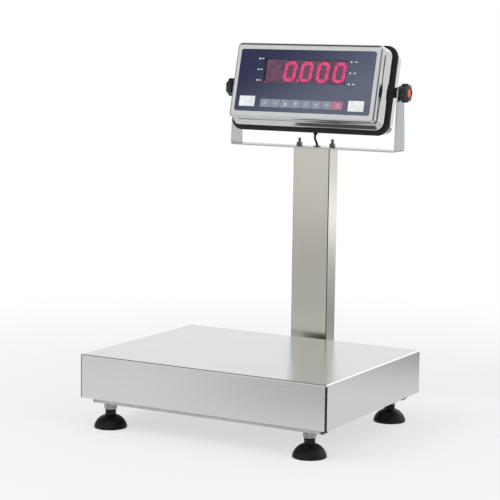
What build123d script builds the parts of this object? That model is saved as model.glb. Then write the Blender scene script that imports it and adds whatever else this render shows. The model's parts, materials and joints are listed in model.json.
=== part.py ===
from build123d import *
import os
from math import cos, radians, sin, tan

os.makedirs("parts", exist_ok=True)

# Bench weighing scale: a stainless platter on a single-point load cell, four levelling feet,
# and a column behind it that carries a tilting display in a U-bracket.
# Millimetres. Z is up from the floor. X runs along the front edge, Y towards the back.
# The origin lies on the floor, midway between the front skirt and the back of the display.

# Platter cover
platter_width = 400.0
platter_depth = 300.0
platter_height = 107.0
skirt_height = 63.5
platter_sheet = 1.2
platter_bend = 2.2
corner_notch = 2.4

# Load frame under the platter
pad_height = 3.0
pad_radius = 10.0
spider_tube_height = 15.0
spider_tube_width = 25.0
spider_tube_wall = 2.0
spider_beam_length = 350.0
bridge_width = 60.0
spacer_height = 3.0
spacer_length = 38.0
pad_inset = 14.0

# Single-point load cell
cell_length = 130.0
cell_width = 30.0
cell_height = 22.0
cell_hole_radius = 8.0
cell_hole_spacing = 30.0
cell_slot_height = 3.0
cell_bolt_inset = 12.0
cell_bolt_spacing = 16.0

# Base frame
beam_height = 25.0
beam_width = 60.0
frame_wall = 2.0
rail_width = 20.0
rail_height = 40.0
rail_inset_ends = 15.0
rail_inset_front = 13.5
tube_corner = 2.5
end_cap_lip = 1.5
end_cap_plug = 10.0

# Screws and clearances
bolt_radius = 3.0
bolt_head_radius = 5.0
bolt_head_height = 6.0
bolt_reach = 10.0
bolt_clearance = 0.3
thread_gap = 0.06
access_hole_radius = 6.5
running_gap = 0.2
stop_gap = 0.6
stop_from_end = 50.0
stop_nut_height = 5.0
stop_nut_flats = 10.0
stop_head_height = 4.0

# Levelling feet
foot_from_end = 21.7
foot_radius = 23.75
foot_rim = 2.5
foot_dome_height = 16.0
foot_dome_out = 0.62
foot_dome_up = 0.66
foot_neck_radius = 7.75
foot_neck_height = 7.0
foot_socket_depth = 5.0
stud_radius = 5.0
stud_top_gap = 4.0
stud_point = 1.0
lock_nut_height = 8.0
lock_nut_flats = 16.0
bush_radius = 7.8
bush_height = 25.0
bush_fit = 0.1

# Column and the plate that carries it
column_width = 62.0
column_depth = 29.0
column_wall = 1.5
column_height = 396.0
column_gap = 21.5
column_cap = 3.0
column_corner = 1.5
column_plate_thickness = 5.0
column_plate_width = 100.0
column_plate_margin = 5.0
column_plate_reach = 60.0
column_plate_corner = 6.0
plate_bolt_inset = 14.0
plate_bolt_margin = 15.0
hex_head_height = 4.0
hex_head_flats = 10.0

# U-bracket
bracket_depth = 33.0
bracket_sheet = 2.0
bracket_bend = 4.0
arm_end_radius = 11.0
bracket_stud_x = 28.5
bracket_stud_radius = 2.5
bracket_stud_height = 12.5
bracket_stud_round = 1.2
bracket_nut_height = 5.0
bracket_nut_flats = 8.0
bracket_washer_radius = 5.0
bracket_washer_height = 1.0

# Display housing. Depths run from the front of its rim towards the back. The rear part is the
# wider one, and the rim stands in from it by the flare at the sides and at top and bottom.
pivot_depth = 44.0
pivot_gap = 10.75
under_display_gap = 18.1
rest_tilt = 14.1
body_width = 258.5
body_height = 124.8
body_corner = 13.0
body_drop = 3.3
body_depth = 64.0
side_flare = 5.5
rise_flare = 4.25
face_corner = 4.0
face_rim_round = 2.2
collar_depth = 13.0
shoulder_depth = 24.5
flare_steps = 5
shell_depth = 30.0
shell_sheet = 1.5
cover_round = 9.0
gasket_thickness = 5.0
gasket_stand = 6.0
gasket_lap = 4.0
gasket_round = 2.2
post_radius = 3.5
post_length = 38.0
post_side_inset = 17.25
post_rise_inset = 18.4
cover_screw_radius = 2.0
cover_screw_head_radius = 4.0
cover_screw_head_height = 2.4

# Front panel
rim_side = 8.75
rim_rise = 10.15
overlay_corner = 3.0
overlay_thickness = 0.8
overlay_fit = 0.2
recess_depth = 1.0
recess_floor = 1.4
window_width = 141.5
window_height = 37.0
window_shift = -0.6
window_margin = 14.4
window_thickness = 2.0
window_fit = 0.15
digit_height = 31.5
digit_width = 20.4
digit_stroke = 5.0
digit_pitch = 28.0
digit_shift = 0.7
digit_slant = 6.0
digit_count = 5
bar_gap = 0.5
bar_thickness = 0.4
point_radius = 2.0
digit_block_gap = 0.4
digit_face_gap = 0.3
key_count = 8
key_pitch = 17.7
key_width = 17.1
key_height = 12.6
key_thickness = 1.5
key_corner = 0.8
key_margin = 6.5
key_shift = -0.7
key_fit = 0.3
keypad_board_thickness = 1.6
keypad_board_side = 4.0
keypad_board_rise = 2.0

# Electronics inside the display
board_side_gap = 8.5
board_rise_gap = 20.4
board_thickness = 1.6
board_depth = 14.0
standoff_radius = 3.0
standoff_inset = 5.0
battery_width = 70.0
battery_height = 38.0
battery_thickness = 20.0
battery_corner = 4.0
battery_side_gap = 34.25
inlet_x = 70.0
inlet_rise = -30.0
inlet_radius = 8.0
inlet_flange = 3.0
inlet_body_radius = 6.0
inlet_body_length = 14.0
inlet_bore_radius = 2.9
inlet_bore_depth = 9.0
inlet_pin_radius = 1.05
inlet_edge_round = 1.0

# Pivots and clamp knobs
spacer_radius = 8.0
knob_stud_radius = 3.0
knob_stud_reach = 9.0
knob_hub_radius = 11.0
knob_hub_length = 2.5
knob_radius = 14.5
knob_grip_length = 8.5
knob_cone_length = 3.5
knob_end_radius = 8.5
knob_lobes = 7
knob_scallop_radius = 4.5
knob_scallop_centre = 17.4
knob_edge = 1.0
knob_cap_radius = 5.7
knob_cap_height = 1.4
knob_cap_seat = 0.8
knob_cap_round = 0.5

# Signal cable
cable_radius = 2.0
cable_run_height = 40.0
cable_slot_width = 8.0
cable_slot_above = 6.0
cable_drop = 27.0
cable_bend = 12.0
cable_hole_shift = 4.0
cable_hole_radius = 3.0
cable_fit = 0.1
grommet_radius = 4.5
grommet_lip = 1.2
grommet_round = 0.8
relief_x = 7.0
relief_length = 7.0
relief_root_radius = 4.0
relief_tip_radius = 2.7
relief_flange_radius = 5.5
relief_flange = 1.5
lead_straight = 3.0
lead_exit = 5.0
lead_bow_side = 0.5
lead_bow_forward = 6.5
lead_bow_height = 11.5
lead_bends = (5.0, 6.0, 3.0)


# Heights of the stack, from the platter's top down to the floor
spider_top = platter_height - platter_sheet - pad_height
spider_bottom = spider_top - spider_tube_height
cell_top = spider_bottom - spacer_height
cell_bottom = cell_top - cell_height
beam_top = cell_bottom - spacer_height
base_bottom = beam_top - beam_height
rail_top = base_bottom + rail_height
skirt_bottom = platter_height - skirt_height
plate_bottom = base_bottom - column_plate_thickness
bracket_top = column_height + bracket_sheet
pivot_height = bracket_top + under_display_gap + gasket_stand + body_height / 2

# Sizes of the display that follow from its housing
bracket_width = body_width + 2 * (pivot_gap + bracket_sheet)
face_width = body_width - 2 * side_flare
face_height = body_height - 2 * rise_flare
overlay_width = face_width - 2 * rim_side
overlay_height = face_height - 2 * rim_rise
window_rise = overlay_height / 2 - window_margin - window_height / 2
key_rise = -overlay_height / 2 + key_margin + key_height / 2
key_row_width = (key_count - 1) * key_pitch + key_width
post_x = body_width / 2 - post_side_inset
post_y = body_height / 2 - post_rise_inset
board_width = 2 * (post_x - post_radius - board_side_gap)
board_height = body_height - 2 * board_rise_gap
battery_x = -body_width / 2 + battery_side_gap + battery_width / 2
cover_front = shell_depth + gasket_thickness
relief_depth = (cover_front + body_depth - cover_round) / 2

# Tilt of the display at rest, and its place relative to the pivot
tilt_cos = cos(radians(rest_tilt))
tilt_sin = sin(radians(rest_tilt))
column_from_platter = platter_depth / 2 + column_gap + column_depth / 2
face_from_platter = column_from_platter - pivot_depth * tilt_cos + body_drop * tilt_sin
back_corner_rise = body_height / 2 - body_drop - cover_round
back_reach = (
    face_from_platter
    + (body_depth - cover_round) * tilt_cos
    + back_corner_rise * tilt_sin
    + cover_round
)

# The platter's centre, so that the whole object is centred on the origin
platter_y = (platter_depth / 2 - back_reach) / 2
column_y = platter_y + column_from_platter
face_y = platter_y + face_from_platter
face_z = pivot_height + pivot_depth * tilt_sin + body_drop * tilt_cos
rail_offset = platter_depth / 2 - rail_inset_front - rail_width / 2
rail_length = platter_width - 2 * rail_inset_ends
foot_x = rail_length / 2 - foot_from_end
beam_length = 2 * rail_offset - rail_width
bridge_length = 2 * rail_offset - spider_tube_width
cell_bolt_y = cell_length / 2 - cell_bolt_inset - cell_bolt_spacing / 2
pad_x = spider_beam_length / 2 - pad_inset
cable_hole_y = column_y + cable_hole_shift
plate_front = platter_y + rail_offset - rail_width / 2 - column_plate_reach
plate_back = column_y + column_depth / 2 + column_plate_margin
plate_bolt_y = plate_front + plate_bolt_inset

face_plane = Plane(
    origin=(0, face_y, face_z), x_dir=(1, 0, 0), z_dir=(0, -tilt_cos, tilt_sin)
)


def face_at(depth):
    """Plane parallel to the display face and this far behind it, y up the face."""
    return face_plane.offset(-depth)


def face_point(x, rise, depth):
    """Point of the display, from its place across and up the face and its depth."""
    y = face_y + depth * tilt_cos + rise * tilt_sin
    z = face_z - depth * tilt_sin + rise * tilt_cos
    return (x, y, z)


# Platter cover: one sheet folded down on four sides, its corners left open as narrow seams
with BuildPart() as platter:
    with BuildSketch(Plane.XY.offset(skirt_bottom)):
        with Locations((0, platter_y)):
            Rectangle(platter_width, platter_depth)
    extrude(amount=skirt_height)
    top_face = platter.faces().sort_by(Axis.Z)[-1]
    fillet(top_face.edges(), radius=platter_bend)
    with BuildSketch(Plane.XY.offset(skirt_bottom)):
        with Locations((0, platter_y)):
            Rectangle(
                platter_width - 2 * platter_sheet, platter_depth - 2 * platter_sheet
            )
    extrude(amount=skirt_height - platter_sheet, mode=Mode.SUBTRACT)
    with BuildSketch(Plane.XY.offset(skirt_bottom)):
        with Locations((0, platter_y)):
            with GridLocations(platter_width, platter_depth, 2, 2):
                Rectangle(2 * corner_notch, 2 * corner_notch)
    extrude(amount=skirt_height - platter_bend, mode=Mode.SUBTRACT)
platter.part.label = "platter"
export_step(platter.part, "parts/platter.step")

# Load frame: two cross tubes joined by a wide bridge that is bolted to the load cell
for end, beam_name in ((-1, "spider_front_beam"), (1, "spider_rear_beam")):
    with BuildPart() as spider_beam:
        with BuildSketch(Plane.YZ.offset(-spider_beam_length / 2)):
            with Locations(
                (platter_y + end * rail_offset, spider_bottom + spider_tube_height / 2)
            ):
                RectangleRounded(spider_tube_width, spider_tube_height, tube_corner)
                RectangleRounded(
                    spider_tube_width - 2 * spider_tube_wall,
                    spider_tube_height - 2 * spider_tube_wall,
                    tube_corner - spider_tube_wall,
                    mode=Mode.SUBTRACT,
                )
        extrude(amount=spider_beam_length)
    spider_beam.part.label = beam_name
    export_step(spider_beam.part, f"parts/{beam_name}.step")

with BuildPart() as spider_bridge:
    with BuildSketch(Plane.XZ.offset(-platter_y - bridge_length / 2)):
        with Locations((0, spider_bottom + spider_tube_height / 2)):
            Rectangle(bridge_width, spider_tube_height)
            Rectangle(
                bridge_width - 2 * spider_tube_wall,
                spider_tube_height - 2 * spider_tube_wall,
                mode=Mode.SUBTRACT,
            )
    extrude(amount=bridge_length)
    with BuildSketch(Plane.XY.offset(spider_bottom)):
        with Locations((0, platter_y - cell_bolt_y)):
            with GridLocations(0, cell_bolt_spacing, 1, 2):
                Circle(bolt_radius + bolt_clearance)
    extrude(amount=spider_tube_wall, mode=Mode.SUBTRACT)
    with BuildSketch(Plane.XY.offset(spider_top)):
        with Locations((0, platter_y - cell_bolt_y)):
            with GridLocations(0, cell_bolt_spacing, 1, 2):
                Circle(access_hole_radius)
    extrude(amount=-spider_tube_wall, mode=Mode.SUBTRACT)
spider_bridge.part.label = "spider_bridge"
export_step(spider_bridge.part, "parts/spider_bridge.step")

with BuildPart() as spider_pads:
    with BuildSketch(Plane.XY.offset(spider_top)):
        with Locations((0, platter_y)):
            with GridLocations(2 * pad_x, 2 * rail_offset, 2, 2):
                Circle(pad_radius)
    extrude(amount=pad_height)
spider_pads.part.label = "spider_pads"
export_step(spider_pads.part, "parts/spider_pads.step")

with BuildPart() as upper_spacer:
    with BuildSketch(Plane.XY.offset(cell_top)):
        with Locations((0, platter_y - cell_length / 2 + spacer_length / 2)):
            Rectangle(cell_width, spacer_length)
        with Locations((0, platter_y - cell_bolt_y)):
            with GridLocations(0, cell_bolt_spacing, 1, 2):
                Circle(bolt_radius + bolt_clearance, mode=Mode.SUBTRACT)
    extrude(amount=spacer_height)
upper_spacer.part.label = "upper_spacer"
export_step(upper_spacer.part, "parts/upper_spacer.step")

with BuildPart() as spider_bolts:
    with BuildSketch(Plane.XY.offset(spider_bottom + spider_tube_wall)):
        with Locations((0, platter_y - cell_bolt_y)):
            with GridLocations(0, cell_bolt_spacing, 1, 2):
                Circle(bolt_head_radius)
    extrude(amount=bolt_head_height)
    with BuildSketch(Plane.XY.offset(cell_top - bolt_reach)):
        with Locations((0, platter_y - cell_bolt_y)):
            with GridLocations(0, cell_bolt_spacing, 1, 2):
                Circle(bolt_radius - thread_gap)
    extrude(amount=bolt_reach + spacer_height + spider_tube_wall)
spider_bolts.part.label = "spider_bolts"
export_step(spider_bolts.part, "parts/spider_bolts.step")

# Load cell: an aluminium beam with two bores joined by a slot, so that its middle bends
with BuildPart() as load_cell:
    with BuildSketch(Plane.YZ.offset(-cell_width / 2)):
        with Locations((platter_y, cell_bottom + cell_height / 2)):
            Rectangle(cell_length, cell_height)
            with GridLocations(cell_hole_spacing, 0, 2, 1):
                Circle(cell_hole_radius, mode=Mode.SUBTRACT)
            Rectangle(cell_hole_spacing, cell_slot_height, mode=Mode.SUBTRACT)
    extrude(amount=cell_width)
    with BuildSketch(Plane.XY.offset(cell_top)):
        with Locations((0, platter_y - cell_bolt_y)):
            with GridLocations(0, cell_bolt_spacing, 1, 2):
                Circle(bolt_radius)
    extrude(amount=-bolt_reach, mode=Mode.SUBTRACT)
    with BuildSketch(Plane.XY.offset(cell_bottom)):
        with Locations((0, platter_y + cell_bolt_y)):
            with GridLocations(0, cell_bolt_spacing, 1, 2):
                Circle(bolt_radius)
    extrude(amount=bolt_reach, mode=Mode.SUBTRACT)
load_cell.part.label = "load_cell"
export_step(load_cell.part, "parts/load_cell.step")

# Base frame: two rails across, one beam between them with the seat of the load cell on top
for end, rail_name in ((-1, "front_rail"), (1, "rear_rail")):
    rail_y = platter_y + end * rail_offset
    with BuildPart() as rail:
        with BuildSketch(Plane.YZ.offset(-rail_length / 2)):
            with Locations((rail_y, base_bottom + rail_height / 2)):
                RectangleRounded(rail_width, rail_height, tube_corner)
                RectangleRounded(
                    rail_width - 2 * frame_wall,
                    rail_height - 2 * frame_wall,
                    tube_corner - frame_wall,
                    mode=Mode.SUBTRACT,
                )
        extrude(amount=rail_length)
        with BuildSketch(Plane.XY.offset(base_bottom)):
            with Locations((0, rail_y)):
                with GridLocations(2 * foot_x, 0, 2, 1):
                    Circle(bush_radius + bush_fit)
        extrude(amount=tube_corner, mode=Mode.SUBTRACT)
        with BuildSketch(Plane.XY.offset(rail_top)):
            with Locations((0, rail_y)):
                with GridLocations(rail_length - 2 * stop_from_end, 0, 2, 1):
                    Circle(bolt_radius + bolt_clearance)
        extrude(amount=-frame_wall, mode=Mode.SUBTRACT)
        if end > 0:
            with BuildSketch(Plane.XZ.offset(-rail_y - rail_width / 2)):
                with Locations((0, cable_run_height)):
                    Circle(cable_hole_radius)
            extrude(amount=rail_width, mode=Mode.SUBTRACT)
            with BuildSketch(Plane.XY.offset(base_bottom)):
                with Locations((0, rail_y)):
                    with GridLocations(column_plate_width - 2 * plate_bolt_margin, 0, 2, 1):
                        Circle(bolt_radius + bolt_clearance)
            extrude(amount=frame_wall, mode=Mode.SUBTRACT)
    rail.part.label = rail_name
    export_step(rail.part, f"parts/{rail_name}.step")

with BuildPart() as cross_beam:
    with BuildSketch(Plane.XZ.offset(-platter_y - beam_length / 2)):
        with Locations((0, base_bottom + beam_height / 2)):
            RectangleRounded(beam_width, beam_height, tube_corner)
            RectangleRounded(
                beam_width - 2 * frame_wall,
                beam_height - 2 * frame_wall,
                tube_corner - frame_wall,
                mode=Mode.SUBTRACT,
            )
    extrude(amount=beam_length)
    with BuildSketch(Plane.XY.offset(beam_top)):
        with Locations((0, platter_y + cell_length / 2 - spacer_length / 2)):
            Rectangle(cell_width, spacer_length)
    extrude(amount=spacer_height)
    with BuildSketch(Plane.XY.offset(cell_bottom)):
        with Locations((0, platter_y + cell_bolt_y)):
            with GridLocations(0, cell_bolt_spacing, 1, 2):
                Circle(bolt_radius + bolt_clearance)
    extrude(amount=-spacer_height - frame_wall, mode=Mode.SUBTRACT)
    with BuildSketch(Plane.XY.offset(base_bottom)):
        with Locations((0, platter_y + cell_bolt_y)):
            with GridLocations(0, cell_bolt_spacing, 1, 2):
                Circle(access_hole_radius)
        with Locations((0, plate_bolt_y)):
            with GridLocations(beam_width / 2, 0, 2, 1):
                Circle(bolt_radius + bolt_clearance)
    extrude(amount=frame_wall, mode=Mode.SUBTRACT)
    with BuildSketch(Plane.XY.offset(beam_top)):
        with Locations((0, platter_y + cell_length / 2 + cable_drop)):
            Circle(cable_hole_radius)
    extrude(amount=-frame_wall, mode=Mode.SUBTRACT)
cross_beam.part.label = "cross_beam"
export_step(cross_beam.part, "parts/cross_beam.step")

with BuildPart() as rail_end_caps:
    for side in (-1, 1):
        cap_plane = Plane(
            origin=(side * rail_length / 2, platter_y, base_bottom + rail_height / 2),
            x_dir=(0, 1, 0),
            z_dir=(side, 0, 0),
        )
        with BuildSketch(cap_plane):
            with GridLocations(2 * rail_offset, 0, 2, 1):
                RectangleRounded(rail_width, rail_height, tube_corner)
        extrude(amount=end_cap_lip)
        with BuildSketch(cap_plane):
            with GridLocations(2 * rail_offset, 0, 2, 1):
                RectangleRounded(
                    rail_width - 2 * frame_wall - 2 * bush_fit,
                    rail_height - 2 * frame_wall - 2 * bush_fit,
                    tube_corner - frame_wall,
                )
        extrude(amount=-end_cap_plug)
rail_end_caps.part.label = "rail_end_caps"
export_step(rail_end_caps.part, "parts/rail_end_caps.step")

with BuildPart() as foot_bushes:
    with BuildSketch(Plane.XY.offset(base_bottom)):
        with Locations((0, platter_y)):
            with GridLocations(2 * foot_x, 2 * rail_offset, 2, 2):
                Circle(bush_radius)
                Circle(stud_radius + thread_gap, mode=Mode.SUBTRACT)
    extrude(amount=bush_height)
foot_bushes.part.label = "foot_bushes"
export_step(foot_bushes.part, "parts/foot_bushes.step")

with BuildPart() as foot_lock_nuts:
    with BuildSketch(Plane.XY.offset(base_bottom)):
        with Locations((0, platter_y)):
            with GridLocations(2 * foot_x, 2 * rail_offset, 2, 2):
                RegularPolygon(lock_nut_flats / 2, 6, major_radius=False)
                Circle(stud_radius + thread_gap, mode=Mode.SUBTRACT)
    extrude(amount=-lock_nut_height)
foot_lock_nuts.part.label = "foot_lock_nuts"
export_step(foot_lock_nuts.part, "parts/foot_lock_nuts.step")

# Overload stops: a screw and lock nut on each end of the rails, just under the load frame
with BuildPart() as overload_stops:
    stop_top = spider_bottom - stop_gap
    with BuildSketch(Plane.XY.offset(rail_top)):
        with Locations((0, platter_y)):
            with GridLocations(
                rail_length - 2 * stop_from_end, 2 * rail_offset, 2, 2
            ):
                RegularPolygon(stop_nut_flats / 2, 6, major_radius=False)
    extrude(amount=stop_nut_height)
    with BuildSketch(Plane.XY.offset(rail_top - frame_wall)):
        with Locations((0, platter_y)):
            with GridLocations(
                rail_length - 2 * stop_from_end, 2 * rail_offset, 2, 2
            ):
                Circle(bolt_radius)
    extrude(amount=stop_top - rail_top + frame_wall)
    with BuildSketch(Plane.XY.offset(stop_top)):
        with Locations((0, platter_y)):
            with GridLocations(
                rail_length - 2 * stop_from_end, 2 * rail_offset, 2, 2
            ):
                Circle(bolt_head_radius)
    extrude(amount=-stop_head_height)
overload_stops.part.label = "overload_stops"
export_step(overload_stops.part, "parts/overload_stops.step")

# Levelling feet: a threaded stud that turns in a domed pad
neck_top = foot_rim + foot_dome_height + foot_neck_height
stud_bottom = neck_top - foot_socket_depth
for x_side, y_side, corner in ((-1, -1, "fl"), (1, -1, "fr"), (-1, 1, "rl"), (1, 1, "rr")):
    foot_place = (x_side * foot_x, platter_y + y_side * rail_offset)
    foot_axis = Plane(origin=(*foot_place, 0), x_dir=(1, 0, 0), z_dir=(0, -1, 0))
    with BuildPart() as foot_pad:
        with BuildSketch(foot_axis):
            with BuildLine():
                Polyline(
                    (foot_neck_radius, foot_rim + foot_dome_height),
                    (foot_neck_radius, neck_top),
                    (stud_radius + thread_gap, neck_top),
                    (stud_radius + thread_gap, stud_bottom),
                    (0, stud_bottom),
                    (0, 0),
                    (foot_radius, 0),
                    (foot_radius, foot_rim),
                )
                ThreePointArc(
                    (foot_radius, foot_rim),
                    (
                        foot_neck_radius + (foot_radius - foot_neck_radius) * foot_dome_out,
                        foot_rim + foot_dome_height * foot_dome_up,
                    ),
                    (foot_neck_radius, foot_rim + foot_dome_height),
                )
            make_face()
        revolve(axis=Axis((*foot_place, 0), (0, 0, 1)))
    foot_pad.part.label = f"foot_pad_{corner}"
    export_step(foot_pad.part, f"parts/foot_pad_{corner}.step")

    with BuildPart() as foot_stud:
        with BuildSketch(Plane.XY.offset(stud_bottom)):
            with Locations(foot_place):
                Circle(stud_radius)
        extrude(amount=rail_top - frame_wall - stud_top_gap - stud_bottom)
        chamfer(foot_stud.edges().group_by(Axis.Z)[-1], length=stud_point)
    foot_stud.part.label = f"foot_stud_{corner}"
    export_step(foot_stud.part, f"parts/foot_stud_{corner}.step")

# Column plate under the rear rail, and the column that stands on it behind the platter
with BuildPart() as column_plate:
    with BuildSketch(Plane.XY.offset(plate_bottom)):
        with Locations((0, (plate_front + plate_back) / 2)):
            RectangleRounded(
                column_plate_width, plate_back - plate_front, column_plate_corner
            )
        with Locations((0, platter_y + rail_offset)):
            with GridLocations(column_plate_width - 2 * plate_bolt_margin, 0, 2, 1):
                Circle(bolt_radius + bolt_clearance, mode=Mode.SUBTRACT)
        with Locations((0, plate_bolt_y)):
            with GridLocations(beam_width / 2, 0, 2, 1):
                Circle(bolt_radius + bolt_clearance, mode=Mode.SUBTRACT)
    extrude(amount=column_plate_thickness)
column_plate.part.label = "column_plate"
export_step(column_plate.part, "parts/column_plate.step")

with BuildPart() as column:
    with BuildSketch(Plane.XY.offset(base_bottom)):
        with Locations((0, column_y)):
            RectangleRounded(column_width, column_depth, column_corner)
    extrude(amount=column_height - base_bottom)
    with BuildSketch(Plane.XY.offset(base_bottom)):
        with Locations((0, column_y)):
            Rectangle(column_width - 2 * column_wall, column_depth - 2 * column_wall)
    extrude(amount=column_height - base_bottom - column_cap, mode=Mode.SUBTRACT)
    with BuildSketch(Plane.XY.offset(column_height)):
        with Locations((0, cable_hole_y)):
            Circle(grommet_radius + cable_fit)
    extrude(amount=-column_cap, mode=Mode.SUBTRACT)
    with BuildSketch(Plane.XZ.offset(-column_y + column_depth / 2)):
        with Locations((0, (base_bottom + cable_run_height) / 2)):
            Rectangle(cable_slot_width, cable_run_height - base_bottom + cable_slot_above)
    extrude(amount=-column_wall, mode=Mode.SUBTRACT)
column.part.label = "column"
export_step(column.part, "parts/column.step")

# Six equal screws hold the load cell's fixed end and the column plate
with BuildPart() as frame_bolts:
    with BuildSketch(Plane.XY.offset(beam_top - frame_wall)):
        with Locations((0, platter_y + cell_bolt_y)):
            with GridLocations(0, cell_bolt_spacing, 1, 2):
                Circle(bolt_head_radius)
    extrude(amount=-bolt_head_height)
    with BuildSketch(Plane.XY.offset(beam_top - frame_wall)):
        with Locations((0, platter_y + cell_bolt_y)):
            with GridLocations(0, cell_bolt_spacing, 1, 2):
                Circle(bolt_radius - thread_gap)
    extrude(amount=frame_wall + spacer_height + bolt_reach)
    with BuildSketch(Plane.XY.offset(plate_bottom)):
        with Locations((0, platter_y + rail_offset)):
            with GridLocations(column_plate_width - 2 * plate_bolt_margin, 0, 2, 1):
                RegularPolygon(hex_head_flats / 2, 6, major_radius=False)
        with Locations((0, plate_bolt_y)):
            with GridLocations(beam_width / 2, 0, 2, 1):
                RegularPolygon(hex_head_flats / 2, 6, major_radius=False)
    extrude(amount=-hex_head_height)
    with BuildSketch(Plane.XY.offset(plate_bottom)):
        with Locations((0, platter_y + rail_offset)):
            with GridLocations(column_plate_width - 2 * plate_bolt_margin, 0, 2, 1):
                Circle(bolt_radius - thread_gap)
        with Locations((0, plate_bolt_y)):
            with GridLocations(beam_width / 2, 0, 2, 1):
                Circle(bolt_radius - thread_gap)
    extrude(amount=column_plate_thickness + bolt_reach)
frame_bolts.part.label = "frame_bolts"
export_step(frame_bolts.part, "parts/frame_bolts.step")

# U-bracket: one strip bent up at both ends, its arms tapering to round ends at the pivots
with BuildPart() as u_bracket:
    arm_top = pivot_height + arm_end_radius
    with BuildSketch(Plane.XZ.offset(-column_y - bracket_depth / 2)):
        with Locations((0, (column_height + arm_top) / 2)):
            Rectangle(bracket_width, arm_top - column_height)
    extrude(amount=bracket_depth)
    bottom_edges = u_bracket.faces().sort_by(Axis.Z)[0].edges().filter_by(Axis.Y)
    fillet(bottom_edges, radius=bracket_bend)
    with BuildSketch(Plane.XZ.offset(-column_y - bracket_depth / 2)):
        with Locations((0, (bracket_top + arm_top) / 2)):
            Rectangle(bracket_width - 2 * bracket_sheet, arm_top - bracket_top)
    extrude(amount=bracket_depth, mode=Mode.SUBTRACT)
    with BuildSketch(Plane.YZ.offset(-bracket_width / 2)):
        with Locations((column_y, (column_height + bracket_top) / 2)):
            Rectangle(bracket_depth, bracket_sheet)
        with BuildLine():
            taper_start = bracket_top + bracket_bend
            Polyline(
                (column_y - arm_end_radius, pivot_height),
                (column_y - bracket_depth / 2, taper_start),
                (column_y - bracket_depth / 2, column_height),
                (column_y + bracket_depth / 2, column_height),
                (column_y + bracket_depth / 2, taper_start),
                (column_y + arm_end_radius, pivot_height),
            )
            ThreePointArc(
                (column_y + arm_end_radius, pivot_height),
                (column_y, arm_top),
                (column_y - arm_end_radius, pivot_height),
            )
        make_face()
        with Locations((column_y, pivot_height)):
            Circle(knob_stud_radius + bolt_clearance, mode=Mode.SUBTRACT)
    extrude(amount=bracket_width, mode=Mode.INTERSECT)
    with BuildSketch(Plane.XY.offset(column_height)):
        with Locations((0, column_y)):
            with GridLocations(2 * bracket_stud_x, 0, 2, 1):
                Circle(bracket_stud_radius + bolt_clearance)
        with Locations((0, cable_hole_y)):
            Circle(grommet_radius + cable_fit)
    extrude(amount=bracket_sheet, mode=Mode.SUBTRACT)
u_bracket.part.label = "u_bracket"
export_step(u_bracket.part, "parts/u_bracket.step")

with BuildPart() as bracket_studs:
    with BuildSketch(Plane.XY.offset(column_height)):
        with Locations((0, column_y)):
            with GridLocations(2 * bracket_stud_x, 0, 2, 1):
                Circle(bracket_stud_radius)
    extrude(amount=bracket_sheet + bracket_stud_height)
    fillet(bracket_studs.edges().group_by(Axis.Z)[-1], radius=bracket_stud_round)
bracket_studs.part.label = "bracket_studs"
export_step(bracket_studs.part, "parts/bracket_studs.step")

with BuildPart() as bracket_nuts:
    with BuildSketch(Plane.XY.offset(bracket_top)):
        with Locations((0, column_y)):
            with GridLocations(2 * bracket_stud_x, 0, 2, 1):
                Circle(bracket_washer_radius)
                Circle(bracket_stud_radius + thread_gap, mode=Mode.SUBTRACT)
    extrude(amount=bracket_washer_height)
    with BuildSketch(Plane.XY.offset(bracket_top + bracket_washer_height)):
        with Locations((0, column_y)):
            with GridLocations(2 * bracket_stud_x, 0, 2, 1):
                RegularPolygon(bracket_nut_flats / 2, 6, major_radius=False)
                Circle(bracket_stud_radius + thread_gap, mode=Mode.SUBTRACT)
    extrude(amount=bracket_nut_height)
bracket_nuts.part.label = "bracket_nuts"
export_step(bracket_nuts.part, "parts/bracket_nuts.step")

with BuildPart() as cable_grommet:
    with BuildSketch(Plane.XY.offset(column_height - column_cap)):
        with Locations((0, cable_hole_y)):
            Circle(grommet_radius)
    extrude(amount=column_cap + bracket_sheet)
    with BuildSketch(Plane.XY.offset(bracket_top)):
        with Locations((0, cable_hole_y)):
            Circle(grommet_radius + grommet_lip)
    extrude(amount=grommet_lip)
    fillet(cable_grommet.edges().group_by(Axis.Z)[-1], radius=grommet_round)
    with BuildSketch(Plane.XY.offset(column_height - column_cap)):
        with Locations((0, cable_hole_y)):
            Circle(cable_radius + cable_fit)
    extrude(amount=column_cap + bracket_sheet + grommet_lip, mode=Mode.SUBTRACT)
cable_grommet.part.label = "cable_grommet"
export_step(cable_grommet.part, "parts/cable_grommet.step")


def housing_outline(depth, inset, flare):
    """Rounded outline of the housing at one depth, from flare 0 at its rim to 1 at its back."""
    with BuildSketch(face_at(depth)) as outline:
        with Locations((0, -body_drop * flare)):
            RectangleRounded(
                face_width + 2 * side_flare * flare - 2 * inset,
                face_height + 2 * rise_flare * flare - 2 * inset,
                face_corner + (body_corner - face_corner) * flare - inset,
            )
    return outline.sketch


def flare_outlines(inset):
    """Outlines through the S-shaped flare, steepest in its middle and straight at its ends."""
    outlines = []
    for step in range(flare_steps + 1):
        share = step / flare_steps
        depth = collar_depth + share * (shoulder_depth - collar_depth)
        outlines.append(housing_outline(depth, inset, share * share * (3 - 2 * share)).face())
    return outlines


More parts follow.
